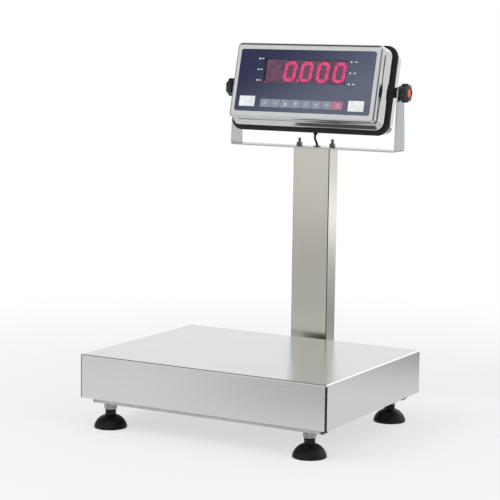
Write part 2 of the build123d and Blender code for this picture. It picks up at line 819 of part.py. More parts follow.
# Front shell: a drawn sheet, with a straight collar that flares to the wider rear part
inner_front = recess_depth + recess_floor
back_axis = Axis((0, 0, 0), (0, -tilt_cos, tilt_sin))
with BuildPart() as front_shell:
    extrude(to_extrude=housing_outline(0, 0, 0), amount=-collar_depth)
    loft(flare_outlines(0))
    extrude(to_extrude=housing_outline(shoulder_depth, 0, 1), amount=shoulder_depth - shell_depth)
    fillet(front_shell.faces().sort_by(back_axis)[-1].edges(), radius=face_rim_round)
    extrude(
        to_extrude=housing_outline(inner_front, shell_sheet, 0),
        amount=inner_front - collar_depth,
        mode=Mode.SUBTRACT,
    )
    loft(flare_outlines(shell_sheet), mode=Mode.SUBTRACT)
    extrude(
        to_extrude=housing_outline(shoulder_depth, shell_sheet, 1),
        amount=shoulder_depth - shell_depth,
        mode=Mode.SUBTRACT,
    )
    with BuildSketch(face_at(0)):
        RectangleRounded(
            overlay_width + 2 * overlay_fit,
            overlay_height + 2 * overlay_fit,
            overlay_corner + overlay_fit,
        )
    extrude(amount=-recess_depth, mode=Mode.SUBTRACT)
    with BuildSketch(face_at(recess_depth)):
        with Locations((window_shift, window_rise)):
            Rectangle(window_width + 2 * window_fit, window_height + 2 * window_fit)
        with Locations((key_shift, key_rise)):
            Rectangle(key_row_width + 2 * key_fit, key_height + 2 * key_fit)
    extrude(amount=-recess_floor, mode=Mode.SUBTRACT)
    with BuildSketch(face_at(inner_front)):
        with Locations((0, -body_drop)):
            with GridLocations(2 * post_x, 2 * post_y, 2, 2):
                Circle(post_radius)
                Circle(cover_screw_radius, mode=Mode.SUBTRACT)
    extrude(amount=-post_length)
front_shell.part.label = "front_shell"
export_step(front_shell.part, "parts/front_shell.step")

# Gasket: a thick rubber band that stands out between the two shells
with BuildPart() as gasket:
    with BuildSketch(face_at(shell_depth)):
        with Locations((0, -body_drop)):
            RectangleRounded(
                body_width + 2 * gasket_stand,
                body_height + 2 * gasket_stand,
                body_corner + gasket_stand,
            )
    extrude(amount=-gasket_thickness)
    fillet(gasket.faces().sort_by(SortBy.AREA)[-2:].edges(), radius=gasket_round)
    with BuildSketch(face_at(shell_depth)):
        with Locations((0, -body_drop)):
            RectangleRounded(
                body_width - 2 * gasket_lap,
                body_height - 2 * gasket_lap,
                body_corner - gasket_lap,
            )
    extrude(amount=-gasket_thickness, mode=Mode.SUBTRACT)
gasket.part.label = "gasket"
export_step(gasket.part, "parts/gasket.step")

# Rear cover: a deep-drawn pan with a welded boss inside each flank for the clamp knob
boss_inner = body_width / 2 - shell_sheet - knob_stud_reach
with BuildPart() as rear_cover:
    extrude(to_extrude=housing_outline(cover_front, 0, 1), amount=cover_front - body_depth)
    fillet(rear_cover.faces().sort_by(back_axis)[0].edges(), radius=cover_round)
    extrude(
        to_extrude=housing_outline(cover_front, shell_sheet, 1),
        amount=cover_front - body_depth + cover_round,
        mode=Mode.SUBTRACT,
    )
    extrude(
        to_extrude=housing_outline(body_depth - cover_round, cover_round, 1),
        amount=shell_sheet - cover_round,
        mode=Mode.SUBTRACT,
    )
    for side in (-1, 1):
        boss_plane = Plane(
            origin=(side * boss_inner, column_y, pivot_height),
            x_dir=(0, 1, 0),
            z_dir=(side, 0, 0),
        )
        with BuildSketch(boss_plane):
            Circle(spacer_radius)
        extrude(amount=knob_stud_reach)
        with BuildSketch(boss_plane):
            Circle(knob_stud_radius + thread_gap)
        extrude(amount=knob_stud_reach + shell_sheet, mode=Mode.SUBTRACT)
    with BuildSketch(face_at(body_depth)):
        with Locations((0, -body_drop)):
            with GridLocations(2 * post_x, 2 * post_y, 2, 2):
                Circle(cover_screw_radius + bolt_clearance)
        with Locations((inlet_x, inlet_rise)):
            Circle(inlet_body_radius + cable_fit)
    extrude(amount=shell_sheet, mode=Mode.SUBTRACT)
    relief_plane = Plane(
        origin=face_point(relief_x, -body_drop - body_height / 2, relief_depth),
        x_dir=(1, 0, 0),
        z_dir=(0, -tilt_sin, -tilt_cos),
    )
    with BuildSketch(relief_plane):
        Circle(relief_root_radius + cable_fit)
    extrude(amount=-shell_sheet, mode=Mode.SUBTRACT)
rear_cover.part.label = "rear_cover"
export_step(rear_cover.part, "parts/rear_cover.step")

with BuildPart() as cover_screws:
    with BuildSketch(face_at(body_depth)):
        with Locations((0, -body_drop)):
            with GridLocations(2 * post_x, 2 * post_y, 2, 2):
                Circle(cover_screw_head_radius)
    extrude(amount=-cover_screw_head_height)
    with BuildSketch(face_at(body_depth)):
        with Locations((0, -body_drop)):
            with GridLocations(2 * post_x, 2 * post_y, 2, 2):
                Circle(cover_screw_radius - thread_gap)
    extrude(amount=body_depth - inner_front - post_length + bolt_reach)
cover_screws.part.label = "cover_screws"
export_step(cover_screws.part, "parts/cover_screws.step")

# Front panel: printed film with a window for the digits and an opening for the keys
with BuildPart() as overlay:
    with BuildSketch(face_at(recess_depth)):
        RectangleRounded(overlay_width, overlay_height, overlay_corner)
        with Locations((window_shift, window_rise)):
            Rectangle(
                window_width + 2 * window_fit,
                window_height + 2 * window_fit,
                mode=Mode.SUBTRACT,
            )
        with Locations((key_shift, key_rise)):
            Rectangle(
                key_row_width + 2 * key_fit, key_height + 2 * key_fit, mode=Mode.SUBTRACT
            )
    extrude(amount=overlay_thickness)
overlay.part.label = "overlay"
export_step(overlay.part, "parts/overlay.step")

window_front = recess_depth - overlay_thickness
with BuildPart() as display_window:
    with BuildSketch(face_at(window_front)):
        with Locations((window_shift, window_rise)):
            Rectangle(window_width, window_height)
    extrude(amount=-window_thickness)
display_window.part.label = "display_window"
export_step(display_window.part, "parts/display_window.step")

# Five digit blocks behind the window, each with seven bars and a point
bar_front = window_front + window_thickness + digit_face_gap
block_front = bar_front + bar_thickness
with BuildPart() as display_block:
    with BuildSketch(face_at(block_front)):
        with Locations((digit_shift, window_rise)):
            with GridLocations(digit_pitch, 0, digit_count, 1):
                Rectangle(digit_pitch - digit_block_gap, window_height)
    extrude(amount=block_front - board_depth)
display_block.part.label = "display_block"
export_step(display_block.part, "parts/display_block.step")


def digit_corner(column_index, row_index):
    """Centre-line corner of a digit: column -1 or 1, row -1, 0 or 1, before the slant."""
    x = column_index * (digit_width - digit_stroke) / 2
    y = row_index * (digit_height - digit_stroke) / 2
    return Vector(x, y)


def bar_outline(digit, start, end):
    """Six-sided outline of one bar between two corners of a digit, slanted with it."""
    a = digit_corner(*start)
    b = digit_corner(*end)
    along = (b - a).normalized()
    across = Vector(-along.Y, along.X) * (digit_stroke / 2)
    tip = along * bar_gap
    shoulder = along * (bar_gap + digit_stroke / 2)
    corners = (
        a + tip,
        a + shoulder + across,
        b - shoulder + across,
        b - tip,
        b - shoulder - across,
        a + shoulder - across,
    )
    middle = digit_shift + (digit - (digit_count - 1) / 2) * digit_pitch
    lean = tan(radians(digit_slant))
    return [(middle + p.X + p.Y * lean, window_rise + p.Y) for p in corners]


bar_ends = (
    ((-1, 1), (1, 1)),
    ((1, 1), (1, 0)),
    ((1, 0), (1, -1)),
    ((-1, -1), (1, -1)),
    ((-1, 0), (-1, -1)),
    ((-1, 1), (-1, 0)),
    ((-1, 0), (1, 0)),
)
zero_bars = range(len(bar_ends) - 1)
lit_digits = range(1, digit_count)
lit_bars = [(digit, bar) for digit in lit_digits for bar in zero_bars]
all_bars = [(digit, bar) for digit in range(digit_count) for bar in range(len(bar_ends))]
dark_bars = [pair for pair in all_bars if pair not in lit_bars]
point_x = digit_shift + digit_pitch * (lit_digits[0] + 0.5 - (digit_count - 1) / 2)
point_rise = window_rise - digit_height / 2 + point_radius

with BuildPart() as lit_segments:
    with BuildSketch(face_at(bar_front)):
        for digit, bar in lit_bars:
            with BuildLine():
                Polyline(*bar_outline(digit, *bar_ends[bar]), close=True)
            make_face()
        with Locations((point_x, point_rise)):
            Circle(point_radius)
    extrude(amount=-bar_thickness)
lit_segments.part.label = "lit_segments"
export_step(lit_segments.part, "parts/lit_segments.step")

with BuildPart() as dark_segments:
    with BuildSketch(face_at(bar_front)):
        for digit, bar in dark_bars:
            with BuildLine():
                Polyline(*bar_outline(digit, *bar_ends[bar]), close=True)
            make_face()
    extrude(amount=-bar_thickness)
dark_segments.part.label = "dark_segments"
export_step(dark_segments.part, "parts/dark_segments.step")

# Keys: eight touch areas that press in, and the switch board behind them
for number in range(key_count):
    key_x = key_shift + (number - (key_count - 1) / 2) * key_pitch
    with BuildPart() as key:
        with BuildSketch(face_at(window_front)):
            with Locations((key_x, key_rise)):
                RectangleRounded(key_width, key_height, key_corner)
        extrude(amount=-key_thickness)
    key.part.label = f"key_{number + 1}"
    export_step(key.part, f"parts/key_{number + 1}.step")

with BuildPart() as keypad_board:
    with BuildSketch(face_at(inner_front)):
        with Locations((key_shift, key_rise)):
            Rectangle(
                key_row_width + 2 * keypad_board_side, key_height + 2 * keypad_board_rise
            )
    extrude(amount=-keypad_board_thickness)
keypad_board.part.label = "keypad_board"
export_step(keypad_board.part, "parts/keypad_board.step")

# Electronics: main board on four standoffs, battery on the rear cover, charging inlet
with BuildPart() as main_board:
    with BuildSketch(face_at(board_depth)):
        with Locations((0, -body_drop)):
            Rectangle(board_width, board_height)
    extrude(amount=-board_thickness)
main_board.part.label = "main_board"
export_step(main_board.part, "parts/main_board.step")

with BuildPart() as board_standoffs:
    with BuildSketch(face_at(inner_front)):
        with Locations((0, -body_drop)):
            with GridLocations(
                board_width - 2 * standoff_inset, board_height - 2 * standoff_inset, 2, 2
            ):
                Circle(standoff_radius)
    extrude(amount=inner_front - board_depth)
board_standoffs.part.label = "board_standoffs"
export_step(board_standoffs.part, "parts/board_standoffs.step")

with BuildPart() as battery:
    with BuildSketch(face_at(body_depth - shell_sheet)):
        with Locations((battery_x, -body_drop)):
            RectangleRounded(battery_width, battery_height, battery_corner)
    extrude(amount=battery_thickness)
battery.part.label = "battery"
export_step(battery.part, "parts/battery.step")

with BuildPart() as power_inlet:
    with BuildSketch(face_at(body_depth)):
        with Locations((inlet_x, inlet_rise)):
            Circle(inlet_radius)
    extrude(amount=-inlet_flange)
    fillet(power_inlet.faces().sort_by(back_axis)[0].edges(), radius=inlet_edge_round)
    with BuildSketch(face_at(body_depth)):
        with Locations((inlet_x, inlet_rise)):
            Circle(inlet_body_radius)
    extrude(amount=inlet_body_length)
    with BuildSketch(face_at(body_depth + inlet_flange)):
        with Locations((inlet_x, inlet_rise)):
            Circle(inlet_bore_radius)
            Circle(inlet_pin_radius, mode=Mode.SUBTRACT)
    extrude(amount=inlet_bore_depth, mode=Mode.SUBTRACT)
power_inlet.part.label = "power_inlet"
export_step(power_inlet.part, "parts/power_inlet.step")

# Bend relief where the signal cable leaves the rear cover
with BuildPart() as cable_relief:
    with BuildSketch(relief_plane):
        Circle(relief_flange_radius)
    extrude(amount=relief_flange)
    with BuildSketch(relief_plane.offset(relief_flange)):
        Circle(relief_root_radius)
    with BuildSketch(relief_plane.offset(relief_length)):
        Circle(relief_tip_radius)
    loft()
    with BuildSketch(relief_plane):
        Circle(relief_root_radius)
    extrude(amount=-2 * shell_sheet)
    with BuildSketch(relief_plane.offset(relief_length)):
        Circle(cable_radius + cable_fit)
    extrude(amount=-relief_length - 2 * shell_sheet, mode=Mode.SUBTRACT)
cable_relief.part.label = "cable_relief"
export_step(cable_relief.part, "parts/cable_relief.step")

# Signal cable inside the frame: from the load cell through the base and up the column
cable_start = (0, platter_y + cell_length / 2, cell_bottom + cell_height / 2)
drop_y = platter_y + cell_length / 2 + cable_drop
with BuildPart() as column_cable:
    with BuildLine() as route:
        FilletPolyline(
            cable_start,
            (0, drop_y, cell_bottom + cell_height / 2),
            (0, drop_y, cable_run_height),
            (0, cable_hole_y, cable_run_height),
            (0, cable_hole_y, bracket_top),
            radius=cable_bend,
        )
    with BuildSketch(Plane(origin=cable_start, x_dir=(1, 0, 0), z_dir=(0, 1, 0))):
        Circle(cable_radius)
    sweep()
column_cable.part.label = "column_cable"
export_step(column_cable.part, "parts/column_cable.step")

# Signal cable in the open: out of the grommet, bowed to one side, into the bend relief
lead_end = face_point(relief_x, -body_drop - body_height / 2 + shell_sheet, relief_depth)
lead_points = (
    (0, cable_hole_y, bracket_top),
    (0, cable_hole_y, bracket_top + lead_exit),
    (-lead_bow_side, cable_hole_y - lead_bow_forward, bracket_top + lead_bow_height),
    face_point(
        relief_x,
        -body_drop - body_height / 2 - relief_length - lead_straight,
        relief_depth,
    ),
    lead_end,
)
with BuildPart() as indicator_lead:
    with BuildLine() as lead_route:
        FilletPolyline(*lead_points, radius=lead_bends)
    with BuildSketch(Plane(origin=lead_points[0], x_dir=(1, 0, 0), z_dir=(0, 0, 1))):
        Circle(cable_radius)
    sweep()
indicator_lead.part.label = "indicator_lead"
export_step(indicator_lead.part, "parts/indicator_lead.step")

# Pivots: a spacer each side, then a clamp knob whose stud passes through arm and spacer
arm_inner = bracket_width / 2 - bracket_sheet
with BuildPart() as pivot_spacers:
    for side in (-1, 1):
        with BuildSketch(
            Plane(
                origin=(side * body_width / 2, column_y, pivot_height),
                x_dir=(0, 1, 0),
                z_dir=(side, 0, 0),
            )
        ):
            Circle(spacer_radius)
            Circle(knob_stud_radius + thread_gap, mode=Mode.SUBTRACT)
        extrude(amount=arm_inner - running_gap - body_width / 2)
pivot_spacers.part.label = "pivot_spacers"
export_step(pivot_spacers.part, "parts/pivot_spacers.step")

for side, hand in ((-1, "left"), (1, "right")):
    knob_start = bracket_width / 2 + running_gap
    grip_start = knob_start + knob_hub_length
    cone_start = grip_start + knob_grip_length
    knob_end = cone_start + knob_cone_length
    knob_axis = Axis((0, column_y, pivot_height), (1, 0, 0))
    with BuildPart() as knob:
        with BuildSketch(
            Plane(
                origin=(0, column_y, pivot_height), x_dir=(1, 0, 0), z_dir=(0, -1, 0)
            )
        ):
            with BuildLine():
                Polyline(
                    (side * knob_start, 0),
                    (side * knob_start, knob_hub_radius),
                    (side * grip_start, knob_hub_radius),
                    (side * grip_start, knob_radius - knob_edge),
                    (side * (grip_start + knob_edge), knob_radius),
                    (side * cone_start, knob_radius),
                    (side * knob_end, knob_end_radius),
                    (side * knob_end, knob_cap_radius + cable_fit),
                    (side * (knob_end - knob_cap_seat), knob_cap_radius + cable_fit),
                    (side * (knob_end - knob_cap_seat), 0),
                    close=True,
                )
            make_face()
        revolve(axis=knob_axis)
        with BuildSketch(
            Plane(
                origin=(side * grip_start, column_y, pivot_height),
                x_dir=(0, 1, 0),
                z_dir=(side, 0, 0),
            )
        ):
            with PolarLocations(knob_scallop_centre, knob_lobes, start_angle=90.0):
                Circle(knob_scallop_radius)
        extrude(amount=knob_end - grip_start, mode=Mode.SUBTRACT)
        with BuildSketch(
            Plane(
                origin=(side * knob_start, column_y, pivot_height),
                x_dir=(0, 1, 0),
                z_dir=(-side, 0, 0),
            )
        ):
            Circle(knob_stud_radius)
        extrude(amount=knob_start - boss_inner)
    knob.part.label = f"knob_{hand}"
    export_step(knob.part, f"parts/knob_{hand}.step")

    with BuildPart() as knob_cap:
        with BuildSketch(
            Plane(
                origin=(side * (knob_end - knob_cap_seat), column_y, pivot_height),
                x_dir=(0, 1, 0),
                z_dir=(side, 0, 0),
            )
        ):
            Circle(knob_cap_radius)
        extrude(amount=knob_cap_height)
        fillet(
            knob_cap.edges().sort_by(Axis.X)[-1 if side > 0 else 0], radius=knob_cap_round
        )
    knob_cap.part.label = f"knob_cap_{hand}"
    export_step(knob_cap.part, f"parts/knob_cap_{hand}.step")
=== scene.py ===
import json
from math import atan2, cos, pi, radians, sin

import bmesh
import bpy
from bpy.props import FloatProperty, FloatVectorProperty, IntProperty, PointerProperty
from mathutils import Matrix, Vector


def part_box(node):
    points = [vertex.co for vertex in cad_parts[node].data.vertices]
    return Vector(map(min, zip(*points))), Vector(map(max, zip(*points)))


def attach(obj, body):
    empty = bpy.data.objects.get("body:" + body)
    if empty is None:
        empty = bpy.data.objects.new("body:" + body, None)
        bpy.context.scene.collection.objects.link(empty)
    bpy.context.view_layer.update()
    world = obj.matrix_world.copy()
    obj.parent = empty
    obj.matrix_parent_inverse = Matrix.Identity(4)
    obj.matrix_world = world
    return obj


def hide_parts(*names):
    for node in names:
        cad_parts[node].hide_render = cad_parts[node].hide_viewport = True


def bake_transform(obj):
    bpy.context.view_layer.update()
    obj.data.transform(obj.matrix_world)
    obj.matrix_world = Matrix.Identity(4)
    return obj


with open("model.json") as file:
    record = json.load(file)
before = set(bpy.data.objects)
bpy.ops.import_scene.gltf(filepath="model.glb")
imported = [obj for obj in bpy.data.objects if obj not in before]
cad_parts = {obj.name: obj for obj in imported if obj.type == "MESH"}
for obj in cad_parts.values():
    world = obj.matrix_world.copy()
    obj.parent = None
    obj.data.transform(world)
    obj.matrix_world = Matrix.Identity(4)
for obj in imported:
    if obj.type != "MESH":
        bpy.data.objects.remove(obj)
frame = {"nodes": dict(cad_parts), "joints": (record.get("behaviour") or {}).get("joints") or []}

bl_info = {
    "name": "Bench Weighing Scale",
    "version": (1, 0, 0),
    "blender": (4, 5, 0),
    "location": "View3D > Sidebar > Scale",
    "description": "Finishes and fine parts of a bench weighing scale, built round its frame",
    "category": "Add Mesh",
}


def linear(code):
    """Linear colour of an sRGB hex value."""
    parts = [int(code[place:place + 2], 16) / 255 for place in (1, 3, 5)]
    return tuple(c / 12.92 if c <= 0.04045 else ((c + 0.055) / 1.055) ** 2.4 for c in parts)


def span(node, direction):
    """Lowest and highest reach of a CAD node along a direction."""
    reaches = [vertex.co.dot(direction) for vertex in frame["nodes"][node].data.vertices]
    return min(reaches), max(reaches)


def middle(node):
    """Middle of a CAD node's box."""
    low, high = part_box(node)
    return (low + high) / 2


# The display leans back: its own axes run across, up and out of its face
ACROSS = Vector((1, 0, 0))
INWARD = Vector(next(j["axis"] for j in frame["joints"] if j["name"] == "key_1_press"))
OUTWARD = -INWARD.normalized()
UPWARD = OUTWARD.cross(ACROSS)
FACE_ORIGIN = OUTWARD * span("front_shell", OUTWARD)[1] + UPWARD * sum(span("overlay", UPWARD)) / 2
FACE = Matrix.Translation(FACE_ORIGIN) @ Matrix((ACROSS, UPWARD, OUTWARD)).transposed().to_4x4()


def rises(node):
    """Lowest and highest reach of a node up the display's face, from the face's middle."""
    low, high = span(node, UPWARD)
    start = FACE_ORIGIN.dot(UPWARD)
    return low - start, high - start


def depths(node):
    """Nearest and furthest depth of a node behind the display's face."""
    low, high = span(node, OUTWARD)
    start = FACE_ORIGIN.dot(OUTWARD)
    return start - high, start - low


BODY_LOW, BODY_HIGH = rises("rear_cover")
BODY_WIDTH = span("rear_cover", ACROSS)[1] - span("rear_cover", ACROSS)[0]
BODY_HEIGHT = BODY_HIGH - BODY_LOW
BODY_DROP = -(BODY_HIGH + BODY_LOW) / 2
SHELL_DEPTH = depths("gasket")[0]
COVER_FRONT = depths("rear_cover")[0]
FILM_DEPTH = depths("overlay")[0]
PLATTER_MIDDLE = middle("platter")
PLATTER_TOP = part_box("platter")[1].z
COLUMN_MIDDLE = middle("column")
FOOT_CORNERS = ("fl", "fr", "rl", "rr")
KEY_COUNT = 8
NOUGHT_COUNT = 4

# Flags round the studio as steel reflects them, as (direction, half angle in degrees, light
# left): dark above on the left, beside the camera and behind on the left, for the dark lines
# along polished edges, and a bright one high behind, for the light line along the platter's edge
STUDIO_FLAGS = (
    ((-0.47, -0.10, 0.87), 33, 0.12),
    ((0.80, -0.60, 0.12), 30, 0.18),
    ((-0.99, 0.08, 0.08), 24, 0.16),
    ((0.19, 0.86, 0.50), 15, 2.2),
)

# Soft pools of shade and light on the floor as steel reflects it, as (place, reach in metres,
# light left): shade behind on the right, in front, at the front left and at the front right,
# and a lit wall far behind on the right
FLOOR_POOLS = (
    ((0.52, 0.78, 0.0), 0.62, 0.46),
    ((0.04, -0.68, 0.0), 0.43, 0.55),
    ((-0.75, -1.25, 0.0), 1.10, 0.78),
    ((0.75, -0.35, 0.0), 0.55, 0.35),
    ((1.35, 2.60, 0.0), 1.50, 1.70),
)


class ScaleSizes(bpy.types.PropertyGroup):
    """Sizes of the fine parts, in metres."""

    rim_round: FloatProperty(
        name="Rim round", description="Radius of the bend round the display's front rim",
        default=0.0052, unit="LENGTH",
    )
    rim_corner: FloatProperty(
        name="Rim corner", description="Corner radius of the display's front rim",
        default=0.0072, unit="LENGTH",
    )
    side_flare: FloatProperty(
        name="Side flare", description="How far the housing widens behind its rim, each side",
        default=0.0047, unit="LENGTH",
    )
    rise_flare: FloatProperty(
        name="Rise flare", description="How far the housing widens at its top and bottom",
        default=0.0033, unit="LENGTH",
    )
    flare_start: FloatProperty(
        name="Flare start", description="Depth at which the straight collar ends",
        default=0.013, unit="LENGTH",
    )
    flare_end: FloatProperty(
        name="Flare end", description="Depth at which the housing reaches its full width",
        default=0.0245, unit="LENGTH",
    )
    body_corner: FloatProperty(
        name="Body corner", description="Corner radius of the wide part of the housing",
        default=0.013, unit="LENGTH",
    )
    sheet: FloatProperty(
        name="Sheet", description="Thickness of the display's steel sheet",
        default=0.0015, unit="LENGTH",
    )
    gasket_stand: FloatProperty(
        name="Gasket stand", description="How far the gasket stands out from the housing",
        default=0.006, unit="LENGTH",
    )
    knob_lobes: IntProperty(
        name="Knob lobes", description="Grip lobes round each clamp knob", default=7, min=3,
    )
    foot_thread: FloatProperty(
        name="Foot thread", description="Pitch of the levelling feet's thread",
        default=0.0015, unit="LENGTH",
    )
    stud_thread: FloatProperty(
        name="Stud thread", description="Pitch of the thread on the bracket's studs",
        default=0.0008, unit="LENGTH",
    )
    digit_width: FloatProperty(
        name="Digit width", description="Width of one digit", default=0.0204, unit="LENGTH",
    )
    digit_stroke: FloatProperty(
        name="Digit stroke", description="Width of one bar", default=0.005, unit="LENGTH",
    )
    digit_pitch: FloatProperty(
        name="Digit pitch", description="Step from digit to digit", default=0.028,
        unit="LENGTH",
    )
    print_height: FloatProperty(
        name="Print height", description="Thickness of the ink printed on film and keys",
        default=0.00008, unit="LENGTH",
    )
    weld_radius: FloatProperty(
        name="Weld radius", description="Half width of the weld bead round the column's foot",
        default=0.0028, unit="LENGTH",
    )


class ScaleColours(bpy.types.PropertyGroup):
    """Colours of the finishes."""

    steel: FloatVectorProperty(
        name="Steel", description="Brushed stainless steel of the platter",
        subtype="COLOR", default=linear("#d8dad9"),
    )
    polished: FloatVectorProperty(
        name="Polished steel", description="Bright-drawn stainless steel of the display",
        subtype="COLOR", default=linear("#cfd0cf"),
    )
    column: FloatVectorProperty(
        name="Column steel", description="Stainless tube of the column, a little warmer",
        subtype="COLOR", default=linear("#c6c4bb"),
    )
    film: FloatVectorProperty(
        name="Panel film", description="Ink of the front film at its upper left",
        subtype="COLOR", default=linear("#181d45"),
    )
    # The film's colour at its lower right is a painted sheen, standing in for the surroundings that
    # the film reflects there
    film_painted_sheen: FloatVectorProperty(
        name="Panel film fade", description="Ink that the film blends into at its lower right",
        subtype="COLOR", default=linear("#5c6376"),
    )
    lit: FloatVectorProperty(
        name="Lit bars", description="Light of the bars that are on",
        subtype="COLOR", default=linear("#d41a63"),
    )
    cap: FloatVectorProperty(
        name="Knob cap", description="Inset cap of each clamp knob",
        subtype="COLOR", default=linear("#e8552f"),
    )
    ink: FloatVectorProperty(
        name="Ink", description="Pale ink of the marks on the panel",
        subtype="COLOR", default=linear("#f2f2f0"),
    )
    frame_paint: FloatVectorProperty(
        name="Frame paint", description="Powder coat of the frame under the platter",
        subtype="COLOR", default=linear("#dededc"),
    )


class StageSettings(bpy.types.PropertyGroup):
    """Camera, floor and lamps."""

    lens: FloatProperty(
        name="Lens", description="Focal length on a 36 mm wide sensor, in millimetres",
        default=121.2,
    )
    key_power: FloatProperty(
        name="Key lamp", description="Power of the large soft lamp above the front left",
        default=26.0,
    )
    fill_power: FloatProperty(
        name="Fill lamp", description="Power of the soft lamp on the right", default=12.0,
    )
    ambient: FloatProperty(
        name="Ambient", description="Strength of the even light from all round", default=0.70,
    )


# Small helpers for working as by hand

def deselect():
    """Close edit mode and leave nothing selected."""
    active = bpy.context.object
    if active and active.mode == "EDIT":
        bpy.ops.object.mode_set(mode="OBJECT")
    bpy.ops.object.select_all(action="DESELECT")


def activate(piece):
    """Select one piece alone."""
    deselect()
    piece.select_set(True)
    bpy.context.view_layer.objects.active = piece


def add(name, operator, **settings):
    """Add one primitive with its place in its mesh, and name it."""
    deselect()
    operator(**settings)
    piece = bpy.context.object
    piece.name = name
    piece.data.name = name
    bpy.ops.object.transform_apply(location=True, rotation=True, scale=True)
    return piece


def edit(piece):
    """Open a piece in edit mode with nothing selected."""
    activate(piece)
    bpy.ops.object.mode_set(mode="EDIT")
    bpy.ops.mesh.select_all(action="DESELECT")


def pick(kind, test):
    """Select the open mesh's VERT, EDGE or FACE parts that pass a test, and nothing else."""
    bpy.ops.mesh.select_mode(type=kind)
    bpy.ops.mesh.select_all(action="DESELECT")
    mesh = bpy.context.edit_object.data
    shape = bmesh.from_edit_mesh(mesh)
    parts = {"VERT": shape.verts, "EDGE": shape.edges, "FACE": shape.faces}[kind]
    for part in parts:
        if test(part):
            part.select_set(True)
    shape.select_flush_mode()
    bmesh.update_edit_mesh(mesh)


def close_up(angle=35.0):
    """Turn all faces outwards, leave edit mode and shade smooth below an angle in degrees."""
    bpy.ops.mesh.select_all(action="SELECT")
    bpy.ops.mesh.normals_make_consistent(inside=False)
    bpy.ops.object.mode_set(mode="OBJECT")
    bpy.ops.object.shade_smooth_by_angle(angle=radians(angle))


def place(piece, matrix):
    """Move a finished piece by a matrix and keep its place in its mesh."""
    activate(piece)
    piece.matrix_world = matrix
    bpy.ops.object.transform_apply(location=True, rotation=True, scale=True)
    return piece


def join(name, pieces):
    """Join pieces into one with a name."""
    deselect()
    for piece in pieces:
        piece.select_set(True)
    bpy.context.view_layer.objects.active = pieces[0]
    bpy.ops.object.join()
    joined = bpy.context.object
    joined.name = name
    joined.data.name = name
    return joined


def copies(model, matrices):
    """Copies of a model at each matrix, each with its own mesh. The model itself is used up."""
    made = []
    for matrix in matrices:
        activate(model)
        bpy.ops.object.duplicate(linked=False)
        made.append(place(bpy.context.object, matrix))
    activate(model)
    bpy.ops.object.delete()
    return made


def apply_modifier(piece, kind, **settings):
    """Add one modifier with its settings and apply it."""
    activate(piece)
    bpy.ops.object.modifier_add(type=kind)
    modifier = piece.modifiers[-1]
    for name, value in settings.items():
        setattr(modifier, name, value)
    bpy.ops.object.modifier_apply(modifier=modifier.name)


def cut(piece, tool, operation="DIFFERENCE"):
    """Cut a piece with a tool by a boolean, and use the tool up."""
    apply_modifier(piece, "BOOLEAN", operation=operation, solver="EXACT", object=tool)
    activate(tool)
    bpy.ops.object.delete()


def turned(name, stations, sides=48):
    """A closed solid turned about Z through its (radius, height) stations."""
    (radius, height), *rest = stations
    piece = add(
        name, bpy.ops.mesh.primitive_circle_add, vertices=sides, radius=radius,
        fill_type="NGON", location=(0, 0, height),
    )
    bpy.ops.object.mode_set(mode="EDIT")
    bpy.ops.mesh.select_all(action="SELECT")
    for next_radius, next_height in rest:
        bpy.ops.mesh.extrude_region_move(
            TRANSFORM_OT_translate={"value": (0, 0, next_height - height)}
        )
        share = next_radius / radius
        bpy.ops.transform.resize(value=(share, share, 1), center_override=(0, 0, next_height))
        radius, height = next_radius, next_height
    close_up()
    return piece


def slab(name, width, height, thickness, corner=0.0, at=(0, 0), front=0.0, segments=4):
    """A flat piece in the display's plane, its front face at a height out of that plane."""
    piece = add(name, bpy.ops.mesh.primitive_plane_add, size=1)
    piece.scale = (width, height, 1)
    piece.location = (at[0], at[1], front - thickness)
    bpy.ops.object.transform_apply(location=True, rotation=True, scale=True)
    bpy.ops.object.mode_set(mode="EDIT")
    bpy.ops.mesh.select_all(action="SELECT")
    if corner:
        bpy.ops.mesh.bevel(offset=corner, segments=segments, affect="VERTICES")
        bpy.ops.mesh.select_all(action="SELECT")
    bpy.ops.mesh.extrude_region_move(TRANSFORM_OT_translate={"value": (0, 0, thickness)})
    close_up()
    return piece


def hoop(number, width, height, corner, rise, depth):
    """One rounded outline parallel to the display's face, its points tagged with its number."""
    outline = add("hoop", bpy.ops.mesh.primitive_plane_add, size=1)
    outline.scale = (width, height, 1)
    outline.location = (0, rise, -depth)
    bpy.ops.object.transform_apply(location=True, rotation=True, scale=True)
    bpy.ops.object.mode_set(mode="EDIT")
    bpy.ops.mesh.select_all(action="SELECT")
    bpy.ops.mesh.bevel(offset=corner, segments=8, affect="VERTICES")
    bpy.ops.mesh.select_all(action="SELECT")
    bpy.ops.mesh.delete(type="ONLY_FACE")
    bpy.ops.object.mode_set(mode="OBJECT")
    tags = outline.data.attributes.new("hoop", "INT", "POINT")
    tags.data.foreach_set("value", [number] * len(outline.data.vertices))
    return outline


def skin(name, outlines, angle=35.0):
    """A closed wall through (width, height, corner, rise, depth) outlines, last joined to first."""
    count = len(outlines)
    apart = 0.00002
    hoops = []
    for number, (*shape, depth) in enumerate(outlines):
        # Outlines in one plane are set a hair apart, so that the bridge keeps its direction
        shift = apart if number % 2 or number == count - 1 else 0.0
        hoops.append(hoop(number, *shape, depth + shift))
    piece = join(name, hoops)
    edit(piece)
    for number in range(count):
        pair = {number, (number + 1) % count}
        bpy.ops.mesh.select_mode(type="VERT")
        bpy.ops.mesh.select_all(action="DESELECT")
        mesh = bmesh.from_edit_mesh(piece.data)
        tag = mesh.verts.layers.int["hoop"]
        for edge in mesh.edges:
            ends = {vertex[tag] for vertex in edge.verts}
            if len(ends) == 1 and ends <= pair:
                edge.select_set(True)
        bmesh.update_edit_mesh(piece.data)
        bpy.ops.mesh.bridge_edge_loops()
    close_up(angle)
    activate(piece)
    piece.data.attributes.remove(piece.data.attributes["hoop"])
    return piece


